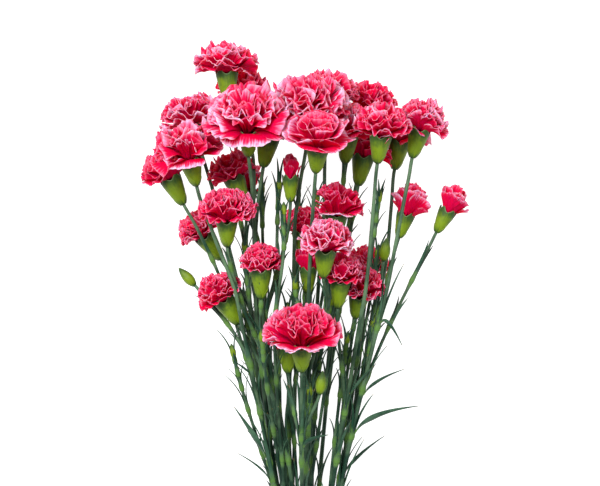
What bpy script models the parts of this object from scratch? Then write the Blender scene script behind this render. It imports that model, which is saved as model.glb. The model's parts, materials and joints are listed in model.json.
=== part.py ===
"""A bunch of cut spray carnations, tied with a rubber band and lying on a table.

The bunch lies along +Y: cut ends first, then the band, then the flowers. +Z points up off the table.
The origin is the middle of the footprint on the table.
"""

import math

import bmesh
import bpy
import numpy as np
from mathutils import Matrix, Vector

MM = 0.001

# ---------------------------------------------------------------- driving sizes, in millimetres
CUT_END_Y = -118.0  # where the stems were cut, below the band
BAND_INNER = 9.6
BAND_THICKNESS = 1.6
BAND_WIDTH = 8.0
BAND_SIDES = 16
END_SPREAD = 1.55  # how much wider the cut ends stand than the stems inside the band

MAIN_STEM_FOOT = 1.65  # radius of a main stem at its cut end
MAIN_STEM_TOP = 1.15
SHOOT_RADIUS = 1.05
KNUCKLE = 1.45  # a swollen node against the stem that carries it
KNUCKLE_REACH = 4.5
NODE_SPACING = 11.0  # nodes nearer than this to another are left smooth
TUBE_SPACING = 15.0

CALYX = {  # kind of flower, bud or shoot tip: length and widest radius of its green part
    "open": (23.0, 6.4),
    "half": (19.0, 5.2),
    "bud": (15.0, 3.6),
    "tip": (9.0, 2.1),
}
CUP_OUTLINE = [(0.0, 0.2), (0.08, 0.5), (0.25, 0.8), (0.55, 0.97), (0.85, 1.0), (1.0, 0.97)]
BUD_OUTLINE = [(0.0, 0.3), (0.12, 0.72), (0.35, 1.0), (0.62, 0.82), (0.85, 0.42), (1.0, 0.12)]
SEAT_GAP = 0.3  # petals stand this far off the calyx, and leaves off their stem
BLOOM_SIDES = 12

STATION_STEP = 15.0  # stems are laid out at cross-sections this far apart
STEM_CLEARANCE = 0.7
FLOWER_CLEARANCE = 0.5
FLOWER_REACH = 25.0  # balls further apart than this at first never meet
FLOWER_ROUNDS = 260
PETAL_CLEARANCE = 1.4
STEM_ROUNDS = 320
STEM_EASE = 0.45
SAMPLES = (0.0, 1 / 3, 2 / 3)  # where clearances are looked at, from one station to the next
PASSING = np.array([0.6, 1.0])  # crossing stems part more over and under each other than sideways
WAIST_LEAN = 0.5  # how steeply the stems fan out at the band, against straight lines to their flowers

# Each flower: name, stem, where its calyx opens (x, y, z from the band, on the table), how far it leans to
# the right and tips up off the table in degrees, bloom radius, kind, and the y where its shoot leaves the
# main stem. The flower with no fork ends the main stem.
FLOWERS = [
    ("crown", 1, (-49, 370, 44), -3, 0, 20, "open", None),
    ("crown_back", 1, (-39, 355, 16), 8, 0, 16, "open", 190),
    ("crown_low", 1, (-35, 296, 11), 5, 0, 10, "half", 145),
    ("left_high", 2, (-70, 337, 40), -18, 5, 19, "open", None),
    ("left_inner", 2, (-48, 303, 40), -22, 0, 15, "open", 160),
    ("left_wide", 3, (-72, 315, 90), -14, 20, 22, "open", None),
    ("left_outer", 3, (-86, 303, 50), -27, 0, 16, "open", 150),
    ("left_bud", 3, (-79, 243, 40), -43, 0, 3.8, "bud", 175),
    ("front_left", 4, (-34, 332, 104), 0, 30, 26, "open", None),
    ("front_dome", 4, (-48, 278, 88), 0, 22, 17, "open", 167),
    ("middle_left", 5, (-20, 328, 60), 10, 5, 21, "open", None),
    ("middle_closed", 5, (-9, 303, 68), 0, 0, 7, "half", 178),
    ("low_left", 5, (-27, 247, 80), 0, 10, 12.5, "open", 144),
    ("middle_top", 6, (3, 340, 74), 5, 28, 24, "open", None),
    ("middle_hidden", 6, (-2, 270, 42), -5, 0, 13, "open", 137),
    ("front_cup", 7, (8, 322, 114), 5, 30, 20, "open", None),
    ("front_low_cup", 7, (14, 259, 98), 5, 18, 16, "open", 160),
    ("inner_low", 7, (2, 246, 56), 0, 0, 9, "half", 137),
    ("back_top", 8, (16, 350, 40), 5, 0, 19, "open", None),
    ("back_middle", 8, (26, 334, 68), 5, 15, 18, "open", 182),
    ("middle_low", 8, (20, 281, 66), 5, 5, 16, "open", 152),
    ("back_right", 9, (39, 345, 22), 8, 0, 18, "open", None),
    ("back_under", 9, (37, 317, 42), 10, -5, 17, "open", 167),
    ("right_front", 10, (48, 330, 94), 7, 15, 18, "open", None),
    ("right_low", 10, (22, 241, 82), 5, 15, 13, "open", 152),
    ("right_nod", 10, (34, 232, 66), 10, 30, 14, "open", 129),
    ("right_high", 11, (71, 333, 78), 15, 5, 16, "open", None),
    ("right_small", 11, (64, 280, 48), 17, 0, 13, "half", 174),
    ("right_far", 11, (91, 282, 40), 28, 0, 11, "half", 137),
    ("right_behind", 12, (60, 330, 30), 10, 0, 19, "open", None),
    ("right_bud", 12, (51, 262, 56), 8, 10, 3.6, "bud", 182),
    ("right_low_back", 12, (39, 244, 20), 5, 5, 14.5, "open", 152),
    ("left_low", 13, (-53, 228, 58), -30, 10, 14, "open", None),
    ("left_dark", 13, (-66, 267, 24), -35, 10, 14, "open", 129),
    ("front_low", 14, (-2, 201, 94), 0, 22, 23.5, "open", None),
    ("front_low_back", 14, (-12, 197, 62), -5, 0, 12, "half", 128),
    ("front_bud", 14, (11, 180, 80), 8, 10, 3.2, "bud", 144),
    ("tip_crown", 1, (-27, 298, 24), 0, 0, 2.1, "tip", 75),
    ("tip_left", 2, (-40, 225, 36), -12, 5, 2.1, "tip", 90),
    ("tip_left_low", 2, (-46, 196, 50), -12, 10, 2.1, "tip", 60),
    ("tip_left_front", 4, (-27, 206, 84), -5, 15, 2.1, "tip", 90),
    ("tip_middle_high", 5, (-16, 300, 46), 3, 0, 2.1, "tip", 60),
    ("tip_middle_low", 6, (-11, 222, 40), 0, 5, 2.1, "tip", 75),
    ("tip_front", 7, (16, 228, 72), 0, 10, 2.1, "tip", 60),
    ("tip_back", 8, (8, 292, 30), 5, 0, 2.1, "tip", 90),
    ("tip_back_low", 8, (10, 200, 34), 5, 5, 2.1, "tip", 60),
    ("tip_right_back", 9, (30, 282, 24), 8, 0, 2.1, "tip", 60),
    ("tip_right_front", 10, (27, 204, 52), 8, 10, 2.1, "tip", 75),
    ("tip_right_high", 11, (47, 292, 58), 10, 5, 2.1, "tip", 90),
    ("tip_right_low", 12, (44, 214, 40), 12, 5, 2.1, "tip", 75),
    ("tip_left_back", 13, (-34, 192, 24), -15, 5, 2.1, "tip", 60),
    ("tip_front_low", 14, (3, 172, 58), 0, 15, 2.1, "tip", 75),
    ("tip_front_high", 4, (-13, 284, 88), 3, 5, 2.1, "tip", 75),
    ("tip_middle_back", 6, (-4, 300, 20), 0, 0, 2.1, "tip", 90),
    ("tip_middle_front", 7, (-6, 238, 72), 0, 10, 2.1, "tip", 75),
    ("tip_right_middle", 10, (46, 258, 50), 8, 5, 2.1, "tip", 60),
    ("tip_left_middle", 2, (-38, 262, 58), -5, 5, 2.1, "tip", 75),
]

# Each leaf: name, stem, the y of its node, where its tip stands from there (x, y, z), its width, and how far
# its blade is turned about its own length, in degrees.
LEAVES = [
    ("leaf_left_wide", 3, 120, (-20, 32, 5), 5.2, 50),
    ("leaf_left_thin", 3, 104, (-21, 18, -6), 2.4, 20),
    ("leaf_right_long", 11, 136, (40, 17, 4), 4.4, -55),
    ("leaf_right_thin", 12, 108, (26, 25, 3), 2.8, -35),
    ("leaf_right_high", 11, 160, (25, 16, 2), 2.6, -30),
    ("leaf_right_arched", 11, 205, (13, -14, 4), 3.0, -40),
    ("leaf_left_tip", 3, 172, (-11, 9, 1), 1.9, 40),
    ("leaf_front", 14, 128, (15, 8, 9), 3.6, -60),
    ("leaf_inner_right", 10, 160, (14, 18, 6), 2.4, -40),
    ("leaf_band_left", 2, 60, (-16, 30, 0), 3.6, 40),
    ("leaf_band_right", 9, 66, (18, 32, 0), 3.6, -40),
]
LEAF_THICKNESS = 0.6
LEAF_STEPS = 9

PETAL_PINK = (0.86, 0.06, 0.19, 1)
CUP_GREEN = (0.22, 0.38, 0.06, 1)
STEM_GREEN = (0.09, 0.22, 0.13, 1)
LEAF_GREEN = (0.13, 0.28, 0.19, 1)
BAND_TAN = (0.62, 0.46, 0.27, 1)


# ---------------------------------------------------------------- the arrangement, in millimetres
class Flower:
    """One head on its calyx, or one bud, or the small closed tip of a shoot without a flower."""

    def __init__(self, name, stem, mouth, lean, tip, radius, kind, fork):
        self.name = name
        self.stem = stem
        self.mouth = np.array(mouth, float)
        lean, tip = math.radians(lean), math.radians(tip)
        self.axis = np.array(
            [math.sin(lean) * math.cos(tip), math.cos(lean) * math.cos(tip), math.sin(tip)]
        )
        self.radius = radius
        self.kind = kind
        self.closed = kind in ("bud", "tip")
        self.fork = fork
        self.calyx_length, self.calyx_radius = CALYX[kind]
        self.height = {"open": 0.62 * radius + 4.0, "half": radius + 4.0}.get(kind, 0.0)
        if kind == "open":
            self.calyx_radius *= 0.82 + 0.18 * min(1.0, radius / 20)
        if kind == "half":
            self.calyx_radius *= 0.75 + 0.25 * min(1.0, radius / 12)

    def side_axes(self):
        """Two directions square to the flower's axis."""
        across = np.cross(self.axis, (0.0, 0.0, 1.0))
        across /= np.linalg.norm(across)
        return across, np.cross(across, self.axis)

    def calyx_base(self):
        return self.mouth - self.axis * self.calyx_length

    def bloom_outline(self):
        """(radius, height) rows of the bloom from its seat round the rim to its top."""
        r, h, cup = self.radius, self.height, self.calyx_radius
        if self.kind == "half":
            return [(0.8 * cup, 0), (0.75 * r + 0.2 * cup, 0.3 * h), (r, 0.65 * h), (0.8 * r, 0.9 * h),
                    (0.35 * r, h)]
        return [(0.8 * cup, 0), (0.6 * r, 0.12 * h), (0.97 * r, 0.3 * h), (r, 0.5 * h), (0.78 * r, 0.84 * h),
                (0.38 * r, h)]

    def balls(self):
        """Balls that fill the flower, as offsets from its mouth and radii."""
        across, over = self.side_axes()
        found = [(-self.axis * self.calyx_length * share, self.calyx_radius * size)
                 for share, size in ((0.15, 1.0), (0.5, 0.95), (0.8, 0.7), (1.15, 0.28), (1.45, 0.26))]
        if self.closed:
            return found
        thick = 0.46 * self.height if self.kind == "open" else min(0.45 * self.height, self.radius)
        found.append((self.axis * 0.5 * self.height, thick))
        for share, count in ((1.0, BLOOM_SIDES), (0.5, 6)):
            ring = (self.radius - thick) * share
            for turn in range(count if ring > 1.0 else 0):
                angle = math.tau * turn / count
                sideways = across * math.cos(angle) + over * math.sin(angle)
                found.append((self.axis * 0.48 * self.height + sideways * ring, thick))
        return found


def spread_flowers(flowers):
    """Moves the heads apart until none touches another, and lifts them onto the table."""
    home = np.array([f.mouth for f in flowers])
    place = home.copy()
    rows = [(i, *ball) for i, f in enumerate(flowers) for ball in f.balls()]
    owner = np.array([row[0] for row in rows])
    offset = np.array([row[1] for row in rows])
    size = np.array([row[2] for row in rows])
    first, second = np.nonzero(owner[:, None] < owner[None, :])
    start = (place[owner] + offset)[first] - (place[owner] + offset)[second]
    near = np.linalg.norm(start, axis=1) < size[first] + size[second] + FLOWER_REACH
    first, second = first[near], second[near]
    sideways_share = np.array([0.35, 0.35, 1.0])
    for turn in range(FLOWER_ROUNDS):
        centre = place[owner] + offset
        apart = centre[first] - centre[second]
        distance = np.linalg.norm(apart, axis=1) + 1e-9
        overlap = size[first] + size[second] + FLOWER_CLEARANCE - distance
        hit = overlap > 0
        push = (apart * (overlap / distance)[:, None])[hit]
        move = np.zeros_like(place)
        np.add.at(move, owner[first[hit]], push)
        np.add.at(move, owner[second[hit]], -push)
        count = np.bincount(owner[first[hit]], minlength=len(place))
        count = count + np.bincount(owner[second[hit]], minlength=len(place))
        place += 0.6 * move / np.maximum(count, 1)[:, None] * sideways_share
        if turn < 0.6 * FLOWER_ROUNDS:
            place += 0.01 * (home - place)
        lowest = np.full(len(place), np.inf)
        np.minimum.at(lowest, owner, (place[owner] + offset)[:, 2] - size)
        place[:, 2] -= np.minimum(lowest, 0)
    for flower, mouth in zip(flowers, place):
        flower.mouth = mouth


def node_heights(number, station):
    """Where a main stem is swollen: at its forks, and at those leaf nodes that stand clear of a fork."""
    asked = [row[-1] for row in FLOWERS if row[1] == number and row[-1]]
    forks = [float(station[np.argmin(abs(station - y))]) for y in asked]
    leaves = [float(row[2]) for row in LEAVES if row[1] == number]
    found = []
    for y in sorted(forks) + sorted(leaves):
        if all(abs(y - other) > NODE_SPACING for other in found):
            found.append(y)
    return sorted(found)


def hermite(start, start_slope, end, end_slope, share, length):
    """A cubic between two points, in a cross-section's x and z, with its slopes along y."""
    s = share[:, None]
    return (
        (2 * s**3 - 3 * s**2 + 1) * start
        + (s**3 - 2 * s**2 + s) * length * start_slope
        + (3 * s**2 - 2 * s**3) * end
        + (s**3 - s**2) * length * end_slope
    )


class Strand:
    """The stem of one flower: from the cut end, or from its fork on the main stem, up to its calyx."""

    def __init__(self, flower, parent, station):
        self.flower = flower
        self.parent = parent
        base = flower.calyx_base()
        self.top = int(np.searchsorted(station, base[1] - 2.0)) - 1
        self.bottom = 0 if parent is None else int(np.argmin(abs(station - flower.fork)))
        slope = np.clip(flower.axis[[0, 2]] / flower.axis[1], -0.9, 0.9)
        end = base[[0, 2]]
        self.path = np.zeros((len(station), 2))
        if parent is None:
            middle = np.array([0.0, BAND_INNER + BAND_THICKNESS])
            start = middle + (end - middle - (0, 30)) * 0.07
            reach = np.clip(station / base[1], 0, 1)
            line = WAIST_LEAN * (end - start) / base[1]
            self.path[:] = hermite(start, line, end, slope, reach, base[1])
            below = station < 0
            self.path[below] = middle + (start - middle) * (
                1 + (END_SPREAD - 1) * (station[below] / CUT_END_Y)[:, None]
            )
        else:
            low = station[self.bottom]
            start = parent.path[self.bottom]
            line = (parent.path[self.bottom + 1] - parent.path[self.bottom - 1]) / (2 * STATION_STEP)
            share = np.clip((station - low) / (base[1] - low), 0, 1)
            self.path[:] = hermite(start, line, end, slope, share, base[1] - low)
        fixed_from = np.searchsorted(station, base[1] - 8.0)
        rank = np.arange(len(station))
        self.nodes = node_heights(flower.stem, station) if parent is None else []
        self.live = (rank >= self.bottom) & (rank <= self.top)
        self.free = self.live & (rank < fixed_from)
        if parent is not None:
            self.free &= rank > self.bottom

    def radius_at(self, y):
        if self.parent is not None:
            return SHOOT_RADIUS
        share = (y - CUT_END_Y) / (self.flower.calyx_base()[1] - CUT_END_Y)
        return MAIN_STEM_FOOT + (MAIN_STEM_TOP - MAIN_STEM_FOOT) * share

    def room_at(self, y):
        """The radius that neighbours keep clear of: the stem's own, or its node's next to a node."""
        beside_node = any(abs(y - node) < KNUCKLE_REACH + STATION_STEP / 2 for node in self.nodes)
        return self.radius_at(y) * (KNUCKLE if beside_node else 1.0)


def between_stations(rows, share):
    """What each row of values is at a share of the way from every station to the next one."""
    return (1 - share) * rows[:, :-1] + share * rows[:, 1:]


def stem_push(path, keep_apart, radius):
    """How far each station of each stem moves so that no two stems come too near, also between stations."""
    push = np.zeros_like(path)
    for share in SAMPLES:
        here = between_stations(path, share)
        room = between_stations(radius, share)
        gap = here[:, None] - here[None, :]
        need = room[:, None] + room[None, :] + STEM_CLEARANCE
        over = np.where(keep_apart, np.clip(need - np.linalg.norm(gap, axis=3), 0, None), 0)
        gap = gap * PASSING
        shift = (gap * (over / (np.linalg.norm(gap, axis=3) + 1e-9))[..., None]).sum(1)
        push[:, :-1] += (1 - share) * shift
        push[:, 1:] += share * shift
    return push / 3


class Obstacles:
    """The balls of the flowers, as discs in the cross-sections where the stems pass them."""

    def __init__(self, strands, flowers, station, carried, radius):
        owner = np.array([i for i, f in enumerate(flowers) for _ in f.balls()])
        at = np.array([f.mouth + ball[0] for f in flowers for ball in f.balls()])
        size = np.array([ball[1] for f in flowers for ball in f.balls()])
        flower_of = np.array([flowers.index(s.flower) for s in strands])
        self.found = []
        for share in SAMPLES:
            row, rank = np.nonzero(carried)
            y = station[rank] + share * STATION_STEP
            along = y[:, None] - at[None, :, 1]
            reach = (between_stations(radius, share)[row, rank] + PETAL_CLEARANCE)[:, None] + size[None, :]
            near = (abs(along) < reach) & (owner[None, :] != flower_of[row][:, None])
            point, ball = np.nonzero(near)
            disc = np.sqrt(reach[near] ** 2 - along[near] ** 2)
            self.found.append((share, row, rank, point, at[ball][:, [0, 2]], disc))

    def push(self, path):
        """How far each station moves to bring its stem out of the discs."""
        push = np.zeros_like(path)
        for share, row, rank, point, centre, disc in self.found:
            here = between_stations(path, share)[row, rank]
            gap = here[point] - centre
            distance = np.linalg.norm(gap, axis=1) + 1e-9
            over = np.clip(disc - distance, 0, None)
            total = np.zeros_like(here)
            hits = np.zeros(len(here))
            np.add.at(total, point, gap * (over / distance)[:, None])
            np.add.at(hits, point, over > 0)
            shift = total / np.maximum(hits, 1)[:, None]
            np.add.at(push, (row, rank), (1 - share) * shift)
            np.add.at(push, (row, rank + 1), share * shift)
        return push / 2


def spread_stems(strands, flowers, station):
    """Eases every stem past its neighbours and past the other flowers, and gathers them inside the band."""
    path = np.array([s.path for s in strands])
    live = np.array([s.live for s in strands])
    free = np.array([s.free for s in strands])
    radius = np.array([[s.room_at(y) for y in station] for s in strands])
    carried = live[:, :-1] & live[:, 1:]
    index = {id(s): i for i, s in enumerate(strands)}
    main_of = [index[id(s.parent or s)] for s in strands]
    keep_apart = carried[:, None] & carried[None, :]
    for i, a in enumerate(strands):
        keep_apart[i, i] = False
        for j, b in enumerate(strands):
            if i != j and main_of[i] == main_of[j]:
                keep_apart[i, j, : max(a.bottom, b.bottom) + 1] = False
    obstacles = Obstacles(strands, flowers, station, carried, radius)
    flat = math.cos(math.pi / BAND_SIDES)
    middle = np.array([0.0, BAND_INNER * flat + BAND_THICKNESS])
    in_band = abs(station) <= BAND_WIDTH / 2 + STATION_STEP
    room = BAND_INNER * flat - radius - 0.4
    natural = path.copy()
    for turn in range(STEM_ROUNDS):
        bent = path - natural
        halfway = 0.5 * (bent[:, 2:] + bent[:, :-2])
        ease = STEM_EASE if turn < 0.7 * STEM_ROUNDS else 0.1
        bent[:, 1:-1] += ease * (halfway - bent[:, 1:-1])
        path[free] = (natural + bent)[free]
        path[free] += stem_push(path, keep_apart, radius)[free]
        path[free] += obstacles.push(path)[free]
        offset = path - middle
        distance = np.linalg.norm(offset, axis=2) + 1e-9
        shrink = np.where(in_band & (distance > room), room / distance, 1.0)
        path = middle + offset * shrink[..., None]
        path[..., 1] = np.maximum(path[..., 1], radius + 0.2)
        for i, s in enumerate(strands):
            if s.parent is not None:
                path[i, s.bottom] = path[main_of[i], s.bottom]
    for s, settled in zip(strands, path):
        s.path = settled


def arrange():
    """The flowers, the strands that carry them, and the stations where the strands are known."""
    flowers = [Flower(*row) for row in FLOWERS]
    spread_flowers(flowers)
    top = max(f.mouth[1] for f in flowers)
    station = np.arange(CUT_END_Y, top, STATION_STEP)
    mains = {f.stem: Strand(f, None, station) for f in flowers if f.fork is None}
    strands = [mains[f.stem] if f.fork is None else Strand(f, mains[f.stem], station) for f in flowers]
    spread_stems(strands, flowers, station)
    return flowers, strands, station


def point_at(strand, station, y):
    """The strand's centre where it crosses y, as (x, y, z)."""
    x = np.interp(y, station, strand.path[:, 0])
    z = np.interp(y, station, strand.path[:, 1])
    return np.array([x, y, z])


# ---------------------------------------------------------------- the pieces
def material(name, colour, roughness):
    made = bpy.data.materials.new(name)
    made.use_nodes = True
    shader = made.node_tree.nodes["Principled BSDF"]
    shader.inputs["Base Color"].default_value = colour
    shader.inputs["Roughness"].default_value = roughness
    shader.inputs["Metallic"].default_value = 0.0
    return made


def tube(name, points, radii, collection):
    """A round rod through points, in metres, with its own radius at each, as a closed mesh."""
    curve = bpy.data.curves.new(name, "CURVE")
    curve.dimensions = "3D"
    curve.bevel_depth = MM
    curve.bevel_resolution = 1
    curve.use_fill_caps = True
    line = curve.splines.new("POLY")
    line.points.add(len(points) - 1)
    for place, point, radius in zip(line.points, points, radii):
        place.co = (*(point * MM), 1)
        place.radius = radius
    rod = bpy.data.objects.new(name + "_line", curve)
    mesh = bpy.data.meshes.new_from_object(rod)
    bpy.data.objects.remove(rod)
    welded = bmesh.new()
    welded.from_mesh(mesh)
    bmesh.ops.remove_doubles(welded, verts=welded.verts, dist=0.01 * MM)
    welded.to_mesh(mesh)
    welded.free()
    mesh.name = name
    solid = bpy.data.objects.new(name, mesh)
    collection.objects.link(solid)
    return solid


def stem_tube(name, strand, station, collection):
    """One strand with its calyx or bud on top, and a swelling at each node."""
    base = strand.flower.calyx_base()
    low, high = station[strand.bottom], station[strand.top]
    heights = list(np.arange(low, high - 0.5 * TUBE_SPACING, TUBE_SPACING)) + [high]
    for y in strand.nodes:
        heights = [h for h in heights if abs(h - y) > KNUCKLE_REACH + 2.0 or h in (low, high)]
        heights += [y - KNUCKLE_REACH, y, y + KNUCKLE_REACH]
    heights = sorted(h for h in heights if low <= h <= high)
    points = [point_at(strand, station, y) for y in heights]
    radii = [strand.radius_at(y) * (KNUCKLE if y in strand.nodes else 1.0) for y in heights]
    outline = BUD_OUTLINE if strand.flower.closed else CUP_OUTLINE
    for share, size in outline:
        points.append(base + strand.flower.axis * strand.flower.calyx_length * share)
        radii.append(max(size * strand.flower.calyx_radius, 0.35))
    return tube(name, points, radii, collection)


def add_stem(name, number, strands, station, parts, shoots):
    """A main stem joined to its side shoots: one plant, so one piece."""
    own = [s for s in strands if s.flower.stem == number]
    main = next(s for s in own if s.parent is None)
    stem = stem_tube(name, main, station, parts)
    side = bpy.data.collections.new(name + "_shoots")
    shoots.children.link(side)
    for strand in own:
        if strand.parent is not None:
            piece = stem_tube(f"{name}_{strand.flower.name}", strand, station, side)
            piece.hide_render = True
            piece.display_type = "WIRE"
    if side.objects:
        join = stem.modifiers.new("side shoots", "BOOLEAN")
        join.operation = "UNION"
        join.operand_type = "COLLECTION"
        join.collection = side
    return stem


def add_bloom(name, flower, parts):
    """The petals of one flower as one crowned solid, turned about the flower's axis."""
    outline = flower.bloom_outline()
    mesh = bpy.data.meshes.new(name)
    shape = bmesh.new()
    rows = [shape.verts.new((r * MM, 0, h * MM)) for r, h in reversed(outline)]
    edges = [shape.edges.new(pair) for pair in zip(rows, rows[1:])]
    bmesh.ops.spin(
        shape, geom=rows + edges, axis=(0, 0, 1), cent=(0, 0, 0), angle=math.tau,
        steps=BLOOM_SIDES, use_merge=True,
    )
    bmesh.ops.remove_doubles(shape, verts=shape.verts, dist=0.01 * MM)
    bmesh.ops.holes_fill(shape, edges=shape.edges)
    bmesh.ops.recalc_face_normals(shape, faces=shape.faces)
    shape.to_mesh(mesh)
    shape.free()
    bloom = bpy.data.objects.new(name, mesh)
    parts.objects.link(bloom)
    bloom.rotation_mode = "QUATERNION"
    bloom.rotation_quaternion = Vector(flower.axis).to_track_quat("Z", "Y")
    bloom.location = Vector((flower.mouth + flower.axis * SEAT_GAP) * MM)
    return bloom


def add_leaf(name, strand, station, node_y, tip, width, turn, parts):
    """A narrow blade that leaves its node along the stem and arches out to its tip."""
    stem_point = point_at(strand, station, node_y + KNUCKLE_REACH)
    above = point_at(strand, station, node_y + KNUCKLE_REACH + STATION_STEP)
    along = (above - stem_point) / np.linalg.norm(above - stem_point)
    tip = np.array(tip, float)
    outward = tip - along * (tip @ along)
    outward /= np.linalg.norm(outward)
    off = strand.radius_at(node_y) + SEAT_GAP + 0.5 * LEAF_THICKNESS
    base = stem_point + outward * off
    shoulder = base + along * 0.35 * np.linalg.norm(tip) + outward * 0.1 * np.linalg.norm(tip)
    end = base + tip
    side = np.cross(along, outward)
    shape = bmesh.new()
    bmesh.ops.create_grid(shape, x_segments=LEAF_STEPS, y_segments=1, size=0.5)
    for vertex in shape.verts:
        share = vertex.co.x + 0.5
        centre = (1 - share) ** 2 * base + 2 * share * (1 - share) * shoulder + share**2 * end
        ahead = (1 - share) * (shoulder - base) + share * (end - shoulder)
        ahead /= np.linalg.norm(ahead)
        turned = math.radians(turn) * min(1, 3 * share)
        across = side * math.cos(turned) + np.cross(ahead, side) * math.sin(turned)
        swell = 0.35 + 0.65 * math.sin(math.pi * (0.15 + 0.85 * share))
        half = 0.5 * width * swell * (1.03 - share) ** 0.35
        vertex.co = Vector((centre + across * half * math.copysign(1, vertex.co.y)) * MM)
    mesh = bpy.data.meshes.new(name)
    bmesh.ops.recalc_face_normals(shape, faces=shape.faces)
    shape.to_mesh(mesh)
    shape.free()
    leaf = bpy.data.objects.new(name, mesh)
    parts.objects.link(leaf)
    blade = leaf.modifiers.new("blade", "SOLIDIFY")
    blade.thickness = LEAF_THICKNESS * MM
    blade.offset = 0.0
    return leaf


def add_band(name, parts):
    """The flat ring that ties the stems. One of its sides lies flat on the table."""
    flat = math.cos(math.pi / BAND_SIDES)
    outer = (BAND_INNER * flat + BAND_THICKNESS) / flat
    half = BAND_WIDTH / 2
    shape = bmesh.new()
    corners = [(BAND_INNER, -half), (outer, -half), (outer, half), (BAND_INNER, half)]
    ring = [shape.verts.new((r * MM, y * MM, 0)) for r, y in corners]
    face = shape.faces.new(ring)
    bmesh.ops.rotate(shape, verts=ring, cent=(0, 0, 0), matrix=Matrix.Rotation(math.pi / BAND_SIDES, 3, "Y"))
    bmesh.ops.spin(
        shape, geom=[face, *face.edges, *ring], axis=(0, 1, 0), cent=(0, 0, 0), angle=math.tau,
        steps=BAND_SIDES, use_merge=True,
    )
    bmesh.ops.remove_doubles(shape, verts=shape.verts, dist=0.01 * MM)
    bmesh.ops.delete(shape, geom=[f for f in shape.faces if inner_face(f)], context="FACES")
    bmesh.ops.recalc_face_normals(shape, faces=shape.faces)
    mesh = bpy.data.meshes.new(name)
    shape.to_mesh(mesh)
    shape.free()
    band = bpy.data.objects.new(name, mesh)
    parts.objects.link(band)
    band.location.z = outer * flat * MM
    return band


def inner_face(face):
    """Whether the face is the section that the band was turned from, left inside the ring."""
    return all(len(edge.link_faces) > 2 for edge in face.edges)


def centre_on_table(objects):
    """Shifts the bunch so that the middle of its footprint is at the origin and its lowest point at z 0."""
    bpy.context.view_layer.update()
    graph = bpy.context.evaluated_depsgraph_get()
    low, high = np.full(3, np.inf), np.full(3, -np.inf)
    for piece in objects:
        evaluated = piece.evaluated_get(graph)
        mesh = evaluated.to_mesh()
        world = np.array([evaluated.matrix_world @ v.co for v in mesh.vertices])
        low, high = np.minimum(low, world.min(0)), np.maximum(high, world.max(0))
        evaluated.to_mesh_clear()
    shift = Vector((-(low[0] + high[0]) / 2, -(low[1] + high[1]) / 2, -low[2]))
    for piece in bpy.data.objects:
        piece.location += shift
    return shift


def main():
    for old in list(bpy.data.objects):
        bpy.data.objects.remove(old)
    parts = bpy.data.collections.new("carnation_bunch")
    shoots = bpy.data.collections.new("shoots_to_join")
    bpy.context.scene.collection.children.link(parts)
    bpy.context.scene.collection.children.link(shoots)
    petals = material("petals", PETAL_PINK, 0.6)
    greens = material("stem", STEM_GREEN, 0.5)
    blades = material("leaf", LEAF_GREEN, 0.55)
    rubber = material("band", BAND_TAN, 0.7)

    flowers, strands, station = arrange()
    pieces = []
    for number in sorted({f.stem for f in flowers}):
        stem = add_stem(f"stem_{number:02d}", number, strands, station, parts, shoots)
        stem.data.materials.append(greens)
        pieces.append(stem)
    for flower in flowers:
        if not flower.closed:
            bloom = add_bloom(f"bloom_{flower.name}", flower, parts)
            bloom.data.materials.append(petals)
            bloom.data.shade_smooth()
            pieces.append(bloom)
    mains = {s.flower.stem: s for s in strands if s.parent is None}
    for name, number, node_y, tip, width, turn in LEAVES:
        leaf = add_leaf(name, mains[number], station, node_y, tip, width, turn, parts)
        leaf.data.materials.append(blades)
        pieces.append(leaf)
    band = add_band("rubber_band", parts)
    band.data.materials.append(rubber)
    pieces.append(band)
    shift = centre_on_table(pieces)
    print("moved from the band's frame by", [round(v / MM, 2) for v in shift])


main()
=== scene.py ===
# %% [markdown]
# # A bunch of cut spray carnations
# Fourteen sprays lie on a table, tied with a rubber band. A spray is one plant: a main stem with side
# shoots, and a flower, a bud or a small closed tip at the end of each. The fixed model that is loaded here
# already has every stem, bloom, leaf and the band as plain solids. This script makes what is seen: ruffled
# petals, green calyces, waxy stems with their nodes, folded leaves and the windings of the band, each in
# the place of its plain solid.

# %% Load the fixed model
import json
import math

import bmesh
import bpy
import numpy as np
from mathutils import Matrix, Vector

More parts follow.
